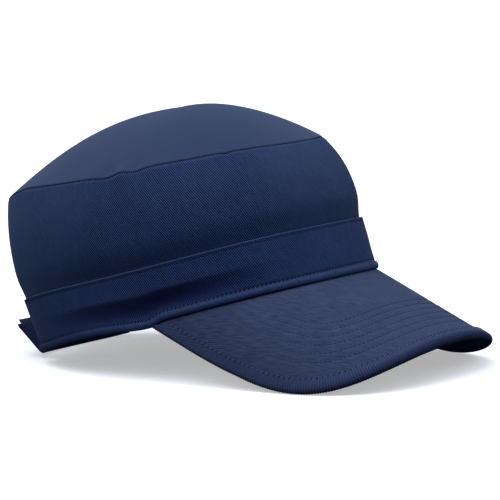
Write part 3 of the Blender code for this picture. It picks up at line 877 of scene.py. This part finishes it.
def make_band():
    """Folded and hemmed strip, open at the back over the tabs."""
    edge = pi - OPENING_HALF_ANGLE
    angles = np.linspace(-edge, edge, BAND_COLUMNS + 1)
    section = band_section(angles)
    section.append(section[0])
    points = np.stack([band_point(angles, share, out) for share, out, _, _ in section])
    marks = [[np.broadcast_to(row[column], angles.shape) for row in section] for column in (2, 3)]
    run = run_along(band_point(angles, 0.5, 0.0))
    middle = points[:, BAND_COLUMNS // 2]
    flat = np.stack(np.meshgrid(run, run_along(middle)), -1)
    clear = twill_clearness(angles)
    rubbed, sunk = np.array(marks)
    return sew("band_cloth", points, flat, tube=True, clear=clear, rubbed=rubbed, sunk=sunk)


BAND_TWILL = Twill((0.0002, 0.0022, 0.0260), (0.0410, 0.0790, 0.1960), 0.9, 0.4, 0.06)
band = make_piece(make_band(), twill("band_twill", BAND_TWILL))
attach(band, "root")
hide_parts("band")

# Painted highlight: the hem thread is pale to stand in for the light its stitches catch
HEM_THREAD_PAINTED_HIGHLIGHT = sewing_thread("hem_thread_painted_highlight", (0.0200, 0.0300, 0.0700), (0.0700, 0.0880, 0.1600))
HEM_STITCH = Stitch(0.0024, 0.0019, 0.0007, 0.0008, radians(32), HEM_THREAD_PAINTED_HIGHLIGHT)
FOLD_STITCH = Stitch(0.0024, 0.0018, 0.0005, 0.0005, radians(12), SEAM_THREAD_PAINTED_SHADE)
band_edge = pi - OPENING_HALF_ANGLE
row_angles = np.linspace(-band_edge, band_edge, 361)
row_height = band_top_height(row_angles) - rim_height(row_angles)
hem_line = band_point(row_angles, (HEM_HEIGHT + HEM_ROW_LIFT) / row_height, -HEM_ROW_SINK)
fold_line = band_point(row_angles, 1.0 - FOLD_ROW_INSET / row_height, -FOLD_ROW_SINK)
sew_rows("hem_stitches", [(hem_line, outward(hem_line))], HEM_STITCH)
sew_rows("fold_stitches", [(fold_line, outward(fold_line))], FOLD_STITCH)


# Peak
# A stiff curved plate covered in twill, sewn under the band from corner to corner. Six rows of
# stitching follow its free edge and hold the cloth down on both faces.

PEAK_LENGTH = 0.0711
PEAK_SLOPE = radians(38.5)
PEAK_THICKNESS = 0.0027
PEAK_SQUARENESS = 3.1
PEAK_CURL = 0.08
PEAK_STRAIGHT = 0.07
PEAK_INSET = 0.0006
PEAK_DROP = 0.0004
PEAK_CORNER = 0.0015
PEAK_TUCK = 0.0008
PEAK_COLUMNS = 300
PEAK_ROWS = 90
PEAK_SHADE = 0.7
PEAK_SHADE_SHARE = 0.02
NORMAL_STEP = 0.0005
EDGE_STEP = 0.0010
RAIL_SEARCH = 0.034
STITCH_ROW_INSETS = (0.0140, 0.0192, 0.0244, 0.0296, 0.0345, 0.0391)
STITCH_ROW_DEPTH = 0.00022
STITCH_ROW_WIDTH = 0.0009
CLEAR_ROW_SHARE = 0.40


def peak_section():
    """Curve that the peak is bent to: lengths along it, out from the middle, and drops."""
    turn = np.linspace(0.0, pi / 2.0, 1201)
    power = 2.0 / RIM_ROUNDNESS
    out = (HALF_WIDTH - PEAK_INSET) * np.sin(turn) ** power
    down = FRONT_REACH * sin(PEAK_SLOPE) * (1.0 - np.maximum(np.cos(turn), 0.0) ** power)
    return run_along(np.stack([out, down], -1)), out, down


SECTION_RUN, SECTION_OUT, SECTION_DOWN = peak_section()


def bend(side, forward):
    """Points of the peak's upper face from its flat pattern: across (side) and out (forward)."""
    length = np.abs(side)
    over = np.maximum(length - SECTION_RUN[-1], 0.0)
    out = np.interp(length, SECTION_RUN, SECTION_OUT)
    down = np.interp(length, SECTION_RUN, SECTION_DOWN) + over
    down = down * (1.0 + PEAK_CURL * np.maximum(forward, 0.0) / PEAK_LENGTH)
    return np.stack([
        -np.sign(side) * out,
        -FRONT_REACH + down * sin(PEAK_SLOPE) - forward * cos(PEAK_SLOPE),
        -PEAK_DROP - down * cos(PEAK_SLOPE) - forward * sin(PEAK_SLOPE),
    ], -1)


def peak_normal(side, forward):
    """Unit vectors that point up out of the peak's upper face."""
    along = bend(side + NORMAL_STEP, forward) - bend(side - NORMAL_STEP, forward)
    across = bend(side, forward + NORMAL_STEP) - bend(side, forward - NORMAL_STEP)
    normal = np.cross(across, along)
    normal = normal / np.linalg.norm(normal, axis=-1, keepdims=True)
    return np.where(normal[..., 2:] < 0.0, -normal, normal)


def peak_point(side, forward, lift):
    """Points at a height above (or below) the peak's upper face."""
    return bend(side, forward) + peak_normal(side, forward) * np.asarray(lift)[..., None]


def rim_pattern(angle):
    """Places in the flat pattern where the peak meets the rim."""
    power = 2.0 / RIM_ROUNDNESS
    side = np.interp(HALF_WIDTH * np.abs(np.sin(angle)) ** power, SECTION_OUT, SECTION_RUN)
    down = FRONT_REACH * sin(PEAK_SLOPE) * (1.0 - np.abs(np.cos(angle)) ** power)
    return np.sign(angle) * side, -down * cos(PEAK_SLOPE) / sin(PEAK_SLOPE)


def peak_outline():
    """Free edge in the flat pattern from the middle of the front to the corner at the rim."""
    corner_side, corner_forward = rim_pattern(PEAK_REACH)
    straight_end = blend(corner_forward, PEAK_LENGTH, PEAK_STRAIGHT)
    turn = np.linspace(0.0, pi / 2.0, 401)
    power = 2.0 / PEAK_SQUARENESS
    side = corner_side * np.sin(turn) ** power
    forward = blend(straight_end, PEAK_LENGTH, np.maximum(np.cos(turn), 0.0) ** power)
    places = np.stack([np.append(side, corner_side), np.append(forward, corner_forward)], -1)
    return run_along(places), places


EDGE_RUN, EDGE_PLACES = peak_outline()


def on_edge(run):
    """Places on the free edge, carried on straight past its corner."""
    over = np.maximum(run - EDGE_RUN[-1], 0.0)
    side = np.interp(run, EDGE_RUN, EDGE_PLACES[:, 0])
    return side, np.interp(run, EDGE_RUN, EDGE_PLACES[:, 1]) - over


def edge_place(length, out):
    """Places in the flat pattern beside the free edge, by length from the middle of the front."""
    length = np.asarray(length, float)
    run = np.abs(length)
    side, forward = on_edge(run)
    before = on_edge(np.maximum(run - EDGE_STEP, 0.0))
    after = on_edge(run + EDGE_STEP)
    run_side = after[0] - before[0]
    run_forward = after[1] - before[1]
    size = np.hypot(run_side, run_forward)
    side = side - run_forward / size * out
    forward = forward + run_side / size * out
    return np.where(length < 0.0, -side, side), forward


def rail_end(out, lift):
    """Length along the free edge at which a line beside it comes up to the band."""
    low = EDGE_RUN[-1] - RAIL_SEARCH
    high = EDGE_RUN[-1] + RAIL_SEARCH
    target = rim_height(PEAK_REACH) - CLEARANCE
    for _ in range(30):
        middle = (low + high) / 2.0
        if peak_point(*edge_place(middle, out), lift)[2] < target:
            low = middle
        else:
            high = middle
    return low


def from_edge(side, forward):
    """Distance of places in the flat pattern from the free edge."""
    runs = np.linspace(0.0, EDGE_RUN[-1], 500)
    edge_side, edge_forward = on_edge(runs)
    far = np.hypot(np.abs(side)[..., None] - edge_side, forward[..., None] - edge_forward)
    return far.min(-1)


def quilting(side, forward, share):
    """How far the stitch rows hold the peak's cloth down, less at its sides."""
    inset = from_edge(side, forward)
    held = sum(hump(inset - row, STITCH_ROW_WIDTH) for row in STITCH_ROW_INSETS)
    return STITCH_ROW_DEPTH * held * (1.0 - 0.6 * smooth((np.abs(share) - CLEAR_ROW_SHARE) / 0.2))


def make_peak():
    """Plate in two faces, cut level where it meets the band, and joined round its edges."""
    share = np.linspace(-1.0, 1.0, PEAK_COLUMNS + 1)
    angle = PEAK_REACH * share
    depth = np.linspace(0.0, 1.0, PEAK_ROWS + 1)[:, None]
    target = rim_height(angle) + PEAK_TUCK
    faces = []
    for lift, sign in ((0.0, -1.0), (-PEAK_THICKNESS, 1.0)):
        rim_side, rim_forward = rim_pattern(angle)
        for _ in range(4):
            height = peak_point(rim_side, rim_forward, lift)[..., 2]
            rim_forward = rim_forward + (height - target) / sin(PEAK_SLOPE)
        run = rail_end(0.0, lift) - PEAK_CORNER
        edge_side, edge_forward = edge_place(run * share, 0.0)
        side = blend(rim_side, edge_side, depth)
        forward = blend(rim_forward, edge_forward, depth)
        points = peak_point(side, forward, lift + sign * quilting(side, forward, share))
        faces.append((points, np.stack([side, forward], -1)))
    upper, lower = faces
    points = np.concatenate([upper[0], lower[0][::-1], upper[0][:1]])
    flat = np.concatenate([upper[1], lower[1][::-1], upper[1][:1]])
    # Painted shade on both faces of the peak just beside the hem
    beside_hem = np.concatenate([depth, depth[::-1], depth[:1]])
    sunk = PEAK_SHADE * hump(beside_hem, PEAK_SHADE_SHARE)
    return sew("peak_cloth", points, flat, tube=True, clear=0.7, sunk=sunk)


def peak_row(inset, lift, start=-1.0, end=1.0):
    """Line of a stitch row at an inset from the free edge, with the directions out of the cloth."""
    run = np.linspace(start, end, 241) * (rail_end(-inset, lift) - PEAK_CORNER)
    place = edge_place(run, -inset)
    facing = peak_normal(*place)
    return peak_point(*place, lift), facing if lift > -PEAK_THICKNESS / 2.0 else -facing


# Painted light: the peak's twill is painted lighter and greyer than the wall's, for the light on its
# upward face
PEAK_TWILL_PAINTED_LIGHT = Twill((0.0115, 0.0200, 0.0550), (0.0590, 0.0750, 0.1310), 0.35, 1.1, 0.10)
peak = make_piece(make_peak(), twill("peak_twill", PEAK_TWILL_PAINTED_LIGHT, -RIB_SLOPE))
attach(peak, "root")
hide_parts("peak")

PEAK_THREAD = sewing_thread("peak_thread", (0.0030, 0.0070, 0.0280), (0.0110, 0.0190, 0.0540))
WORN_THREAD = sewing_thread("worn_peak_thread", (0.0140, 0.0240, 0.0640), (0.0280, 0.0430, 0.0960))
PEAK_STITCH = Stitch(0.0026, 0.0018, 0.0004, 0.0004, 0.0, PEAK_THREAD)
UPPER_LIFT = -0.6 * STITCH_ROW_DEPTH
LOWER_LIFT = 0.6 * STITCH_ROW_DEPTH - PEAK_THICKNESS
clear_rows = []
worn_rows = []
for lift in (UPPER_LIFT, LOWER_LIFT):
    for inset in STITCH_ROW_INSETS:
        clear_rows.append(peak_row(inset, lift, -CLEAR_ROW_SHARE, CLEAR_ROW_SHARE))
        worn_rows.append(peak_row(inset, lift, -1.0, -CLEAR_ROW_SHARE))
        worn_rows.append(peak_row(inset, lift, CLEAR_ROW_SHARE, 1.0))
sew_rows("peak_stitches", clear_rows, PEAK_STITCH)
sew_rows("peak_side_stitches", worn_rows, PEAK_STITCH._replace(thread=WORN_THREAD))


# Binding of the peak
# A strip of ribbed tape, folded round the peak's free edge over a thin pad and sewn through along
# its inner side. Its ribs run across the edge.

BINDING_WIDTH = 0.0085
BINDING_THICKNESS = 0.0050
BINDING_COLUMNS = 1300
BINDING_SHOULDER = 0.0012
BINDING_ROW_EDGE = 0.0010
BINDING_ROW_SINK = 0.0003
TAPE_RIB_PITCH = 0.0015
TAPE_RIB_HEIGHT = 0.00028

# The nose turns from 90 degrees at the binding's upper face to -90 at its lower one, and gets painted
# shade below the first of these turns. Across the front of the peak the painted shade starts behind the
# nose
BINDING_SHADE_START = 45.0
BINDING_SHADE_FADE = 60.0
BINDING_UNDER_SHADE = 0.85
BINDING_LOWER_SHADE = 0.4
BINDING_SLOT_SHADE = 0.9
BINDING_FRONT_SHADE = 0.80
BINDING_FRONT_WIDTH = 0.0032
BINDING_FRONT_SHARE = 0.6


def binding_section():
    """Section of the binding: outward from the plate's edge, above its middle, ribbed, and painted
    shade.
    """
    half = BINDING_THICKNESS / 2.0
    face = PEAK_THICKNESS / 2.0 + CLEARANCE
    inner = half - BINDING_WIDTH
    rows = [(inner, face, 0.0, BINDING_SLOT_SHADE)]
    for share in np.linspace(0.0, 1.0, 5)[1:]:
        rise = blend(face, half, sin(share * pi / 2.0) ** 0.7)
        sunk = BINDING_SLOT_SHADE * (1.0 - share)
        rows.append((inner + BINDING_SHOULDER * share, rise, share, sunk))
    for share in np.linspace(0.0, 1.0, 6)[1:-1]:
        rows.append((blend(inner + BINDING_SHOULDER, 0.0, share), half, 1.0, 0.0))
    nose = []
    for turn in np.linspace(90, -90, 17):
        under = BINDING_UNDER_SHADE * smooth((BINDING_SHADE_START - turn) / BINDING_SHADE_FADE)
        nose.append((half * cos(radians(turn)), half * sin(radians(turn)), 1.0, under))
    lower = []
    for out, rise, ribbed, sunk in reversed(rows):
        lower.append((out, -rise, ribbed, max(sunk, BINDING_LOWER_SHADE)))
    slot = [(CLEARANCE, rise, 0.0, BINDING_SLOT_SHADE) for rise in (-face, face)]
    return rows + nose + lower + slot + rows[:1]


def make_binding():
    """Tape along rails beside the free edge, each ending where it comes up to the band."""
    share = np.linspace(-1.0, 1.0, BINDING_COLUMNS + 1)
    section = np.array(binding_section())
    across = run_along(section[:, :2])
    rails = []
    runs = []
    for out, rise, _, _ in section:
        lift = rise - PEAK_THICKNESS / 2.0
        runs.append(rail_end(out, lift) * share)
        rails.append(peak_point(*edge_place(runs[-1], out), lift))
    runs = np.stack(runs)
    flat = np.stack([runs, np.broadcast_to(across[:, None], runs.shape)], -1)
    # Painted shade across the front of the binding, on its nose and the outer part of its upper face
    outer = smooth(section[:, :1] / BINDING_FRONT_WIDTH + 1.0)
    front = BINDING_FRONT_SHADE * hump(share, BINDING_FRONT_SHARE) * outer
    return sew(
        "peak_binding_tape", np.stack(rails), flat, tube=True,
        clear=0.35,
        sunk=np.maximum(section[:, 3:], front),
        ribbed=section[:, 2:3],
        along=runs - runs.min(),
    )


def rib_tree():
    """Rounded ribs that run across a tape, with the dips between them sunk and given painted shade where
    it is ribbed.
    """
    group = new_geometry_tree("tape_ribs", ("Pitch", "Height"), "Tape")
    tree = Tree(group)
    given = tree.node("NodeGroupInput").outputs

    def named(name):
        made = tree.node("GeometryNodeInputNamedAttribute", {"data_type": "FLOAT"}, {"Name": name})
        return Sum(tree, made.outputs[0])

    wave = (named("along") / Sum(tree, given["Pitch"]) * (2.0 * pi)).math("COSINE")
    rounded = (wave * 0.5 + 0.5) ** 0.6
    rise = (rounded - 1.0) * named("ribbed") * Sum(tree, given["Height"])
    offset = tree.first("ShaderNodeVectorMath", {"operation": "SCALE"}, {
        0: tree.first("GeometryNodeInputNormal"),
        "Scale": rise,
    })
    raised = tree.first("GeometryNodeSetPosition", None, {0: given["Geometry"], "Offset": offset})
    # Painted shade in the dips between the ribs
    sunk = named("sunk").math("MAXIMUM", (1.0 - rounded) * named("ribbed"))
    raised = tree.first("GeometryNodeStoreNamedAttribute", {"data_type": "FLOAT", "domain": "POINT"}, {
        0: raised,
        "Name": "sunk",
        "Value": sunk,
    })
    real = tree.first("GeometryNodeRealizeInstances", None, {0: raised})
    dyed = tree.first("GeometryNodeSetMaterial", None, {0: real, "Material": given["Tape"]})
    tree.node("NodeGroupOutput", None, {0: dyed})
    return group


BINDING_TWILL = Twill((0.0200, 0.0350, 0.0880), (0.0980, 0.1280, 0.2200), 0.6, 0.5, 0.08)
binding_cloth = twill("binding_rib", BINDING_TWILL)
binding = make_piece(make_binding(), binding_cloth)
run_tree(binding, rib_tree(), {
    "Pitch": TAPE_RIB_PITCH,
    "Height": TAPE_RIB_HEIGHT,
    "Tape": binding_cloth,
})
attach(binding, "root")
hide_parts("peak_binding")

BINDING_STITCH = Stitch(0.0030, 0.0020, 0.0010, 0.0008, radians(55), SEAM_THREAD_PAINTED_SHADE)
BINDING_ROW_INSET = BINDING_WIDTH - BINDING_THICKNESS / 2.0 - BINDING_ROW_EDGE
upper_face = 0.5 * (BINDING_THICKNESS - PEAK_THICKNESS) - BINDING_ROW_SINK
lower_face = -PEAK_THICKNESS - upper_face
binding_rows = [peak_row(BINDING_ROW_INSET, lift) for lift in (upper_face, lower_face)]
sew_rows("binding_stitches", binding_rows, BINDING_STITCH)


# Closing tabs
# Two strips of doubled twill that close the opening with hook and loop. Each is sewn in behind
# one end of the band, and the one from the -X side laps over the other at the back.

TAB_CLOTH = 0.0013
TAB_HEIGHT = 0.0170
TAB_SEWN_ANGLE = radians(13)
TAB_LAP_ANGLE = radians(25)
OUTER_TAB_TOP = 1.04
INNER_TAB_FOOT = 0.27
INNER_TAB_TOP = 1.17
INNER_TAB_END = 0.38
TAB_COLUMNS = 160
TAB_ROW_INSET = 0.0020
TAB_EDGE_SHARE = 0.04

# Turns points on the -X side into points on the +X side
MIRRORED = (-1.0, 1.0, 1.0)

# Course of the outer tab past the edge of the opening: turn is a share of OPENING_HALF_ANGLE, the
# rest are shares of TAB_HEIGHT
TabRow = namedtuple("TabRow", "turn out_foot out_top foot")
TAB_COURSE = (
    TabRow(0.08, -0.200, -0.200, 0.030),
    TabRow(0.17, -0.090, 0.060, -0.030),
    TabRow(0.30, 0.110, 0.680, -0.088),
    TabRow(0.62, 0.130, 0.730, -0.088),
    TabRow(1.00, 0.130, 0.620, -0.088),
)


def tab_column(turn, name):
    """One column of the tab's course at turns past the edge of the opening."""
    turn = 1.0 - np.abs(1.0 - turn)
    value = np.full_like(turn, getattr(TAB_COURSE[0], name))
    for first, second in zip(TAB_COURSE, TAB_COURSE[1:]):
        share = smooth((turn - first.turn) / (second.turn - first.turn))
        reached = turn > first.turn
        value = np.where(reached, blend(getattr(first, name), getattr(second, name), share), value)
    return value


def tab_point(turn, share, foot, top, inset, depth):
    """Points of a tab: share runs from its foot to its top edge, depth goes into its cloth."""
    angle = pi - OPENING_HALF_ANGLE * (1.0 - turn)
    height = blend(foot, top, share)
    low = tab_column(turn, "foot")
    rise = (height - low) / (1.0 - low)
    out = blend(tab_column(turn, "out_foot"), tab_column(turn, "out_top"), rise) * TAB_HEIGHT
    first = TAB_COURSE[0].turn
    sewn = 1.0 - smooth((turn - first) / (TAB_COURSE[2].turn - first))
    out = blend(out, -(BAND_CLOTH + CROWN_CLOTH + 2.0 * CLEARANCE), sewn)
    rim_out = HALF_WIDTH * around(RIM_OUT, angle)
    wall = band_point(angle, np.clip(height * TAB_HEIGHT / BAND_HEIGHT, 0.0, 1.0), 0.0)
    rim = ring_point(angle, rim_out, 0.0)
    lean = np.linalg.norm(wall[..., :2], axis=-1) - np.linalg.norm(rim[..., :2], axis=-1)
    stand = rim_out + out - inset - depth + lean * sewn
    return ring_point(angle, stand, rim_height(angle) + height * TAB_HEIGHT)


def tab_inset(turn, layer):
    """How far a lower layer of the lap stands in."""
    return layer * (TAB_CLOTH + CLEARANCE) * smooth((turn - TAB_COURSE[0].turn) / TAB_COURSE[2].turn)


def make_tab(name, start, end, foot, top, layer, mirrored):
    """Tab of doubled cloth with rounded upper and lower edges."""
    turn = np.linspace(start, end, TAB_COLUMNS + 1)
    inset = tab_inset(turn, layer)
    low = np.maximum(foot, tab_column(turn, "foot"))
    edge = TAB_CLOTH / 2.0
    section = []
    for share in np.linspace(0.0, 1.0, 13):
        rounding = 1.0 - (1.0 - min(share, 1.0 - share, TAB_EDGE_SHARE) / TAB_EDGE_SHARE) ** 2
        section.append((share, edge * (1.0 - rounding)))
    section += [(share, TAB_CLOTH - depth) for share, depth in reversed(section)]
    section.append(section[0])
    points = np.stack([tab_point(turn, share, low, top, inset, depth) for share, depth in section])
    if mirrored:
        points = points * MIRRORED
    run = run_along(points[0])
    flat = np.stack(np.meshgrid(run, run_along(points[:, TAB_COLUMNS // 2])), -1)
    edges = np.array([1.0 if share in (0.0, 1.0) else 0.0 for share, _ in section])[:, None]
    return sew(name, points, flat, tube=True, clear=0.6, rubbed=0.3 * edges)


def tab_stitch_rows(start, end, foot, top, layer, mirrored):
    """Lines beside the upper, end and lower edges of a tab's outer face."""
    turn = np.linspace(start, end - TAB_ROW_INSET / (HALF_WIDTH * OPENING_HALF_ANGLE), 121)
    inset = tab_inset(turn, layer)
    low = np.maximum(foot, tab_column(turn, "foot"))
    beside = TAB_ROW_INSET / (TAB_HEIGHT * (top - low))
    across = blend(beside[-1], 1.0 - beside[-1], np.linspace(0.0, 1.0, 13))
    lines = [
        tab_point(turn, 1.0 - beside, low, top, inset, 0.0),
        tab_point(turn, beside, low, top, inset, 0.0),
        tab_point(np.full_like(across, turn[-1]), across, low[-1], top, inset[-1], 0.0),
    ]
    if mirrored:
        lines = [line * MIRRORED for line in lines]
    return [(line, outward(line)) for line in lines]


TAB_TWILL = Twill((0.0004, 0.0022, 0.0200), (0.0430, 0.0780, 0.1880), 0.9, 0.4, 0.06)
tab_finish = twill("tab_twill", TAB_TWILL)
sewn_start = -TAB_SEWN_ANGLE / OPENING_HALF_ANGLE
outer_end = 1.0 + TAB_LAP_ANGLE / OPENING_HALF_ANGLE
lowest = min(row.foot for row in TAB_COURSE)
inner_end = 2.0 - INNER_TAB_END
TAB_STITCH = Stitch(0.0026, 0.0019, 0.0005, 0.0005, 0.0, SEAM_THREAD_PAINTED_SHADE)
tab_cuts = {
    "tab_outer": (sewn_start, outer_end, lowest, OUTER_TAB_TOP, 0, False),
    "tab_inner": (sewn_start, inner_end, INNER_TAB_FOOT, INNER_TAB_TOP, 1, True),
}
for node, cut in tab_cuts.items():
    tab = make_piece(make_tab(node + "_cloth", *cut), tab_finish)
    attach(tab, "root")
    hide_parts(node)
    sew_rows(node + "_stitches", tab_stitch_rows(*cut), TAB_STITCH)


# Floor, light and camera
# A plain white floor and backdrop under broad soft light from above, with weaker light along both
# sides of the view, and a long lens that looks at the cap's -X side and front.

FLOOR_SIZE = 24.0

corner = FLOOR_SIZE / 2.0
floor_corners = [(x * corner, y * corner, 0.0) for x, y in ((-1, -1), (1, -1), (1, 1), (-1, 1))]
floor_mesh = bpy.data.meshes.new("floor")
floor_mesh.from_pydata(floor_corners, [], [(0, 1, 2, 3)])
floor_paint, tree = new_material("floor_paint")
tree.surface({
    "Base Color": (0.75, 0.75, 0.75, 1.0),
    "Roughness": 0.9,
    "Specular IOR Level": 0.0,
    "Emission Color": (1.0, 1.0, 1.0, 1.0),
    "Emission Strength": 0.42,
})
floor_mesh.materials.append(floor_paint)
floor = add_object("floor", floor_mesh)
floor.visible_diffuse = False
floor.visible_glossy = False

# The room's light is blue and weaker from below; the camera sees a white backdrop in its place
ROOM_LIGHT = (0.36, 0.58, 1.0, 1.0)
ROOM_LOW = 0.07
ROOM_HIGH = 0.44
WHITE = (1.0, 1.0, 1.0, 1.0)
world = bpy.data.worlds.new("studio")
bpy.context.scene.world = world
world.use_nodes = True
tree = Tree(world.node_tree)
direction = tree.node("ShaderNodeTexCoord").outputs["Generated"]
height = tree.node("ShaderNodeSeparateXYZ", None, {0: direction}).outputs[2]
strength = tree.ease(height, -0.1, 0.6, ROOM_LOW, ROOM_HIGH)
room = tree.node("ShaderNodeBackground", None, {"Color": ROOM_LIGHT, "Strength": strength})
backdrop = tree.node("ShaderNodeBackground", None, {"Color": WHITE, "Strength": 1.0})
seen = tree.node("ShaderNodeLightPath").outputs["Is Camera Ray"]
sky = tree.node("ShaderNodeMixShader", None, {0: seen, 1: room.outputs[0], 2: backdrop.outputs[0]})
tree.node("ShaderNodeOutputWorld", None, {"Surface": sky.outputs[0]})

# Soft lights: the direction that each shines from, how broad it looks, and its strength
Lamp = namedtuple("Lamp", "name source breadth strength")
LAMPS = (
    Lamp("key_above", (-0.32, 0.06, 1.00), radians(60), 2.5),
    Lamp("fill_front", (0.45, -0.90, 1.00), radians(50), 1.15),
    Lamp("fill_side", (-1.00, 0.35, 0.60), radians(40), 0.65),
)
for lamp in LAMPS:
    light = bpy.data.lights.new(lamp.name, "SUN")
    light.angle = lamp.breadth
    light.energy = lamp.strength
    holder = add_object(lamp.name, light)
    holder.rotation_euler = Vector(lamp.source).to_track_quat("Z", "Y").to_euler()

PHOTO_SIZE = 500
PHOTO_LEAN = radians(15.26)
AZIMUTH = radians(-53.06)
ELEVATION = radians(8.86)
ROLL = radians(-1.40)
DISTANCE = 1.822
FOCAL_PIXELS = 3308.0
RIM_CENTRE_PIXEL = (209.1, 309.3)
SENSOR = 36.0

back = Vector((sin(AZIMUTH) * cos(ELEVATION), -cos(AZIMUTH) * cos(ELEVATION), sin(ELEVATION)))
right = Vector((cos(AZIMUTH), sin(AZIMUTH), 0.0))
up = back.cross(right)
facing = Matrix((right, up, back)).transposed() @ Matrix.Rotation(ROLL, 3, "Z")
facing = Matrix.Rotation(PHOTO_LEAN - LEAN, 3, "X") @ facing
middle = PHOTO_SIZE / 2.0
sight = Vector((RIM_CENTRE_PIXEL[0] - middle, middle - RIM_CENTRE_PIXEL[1], -FOCAL_PIXELS))
aimed = facing @ sight.rotation_difference(Vector((0.0, 0.0, -1.0))).to_matrix()
place = Vector(RIM_CENTRE) + facing.col[2] * DISTANCE
camera_data = bpy.data.cameras.new("camera")
camera_data.sensor_width = SENSOR
camera_data.lens = SENSOR * FOCAL_PIXELS / PHOTO_SIZE
camera_data.clip_end = 50.0
camera = add_object("camera", camera_data)
camera.matrix_world = Matrix.Translation(place) @ aimed.to_4x4()
bpy.context.scene.camera = camera
bpy.context.scene.view_settings.view_transform = "Standard"
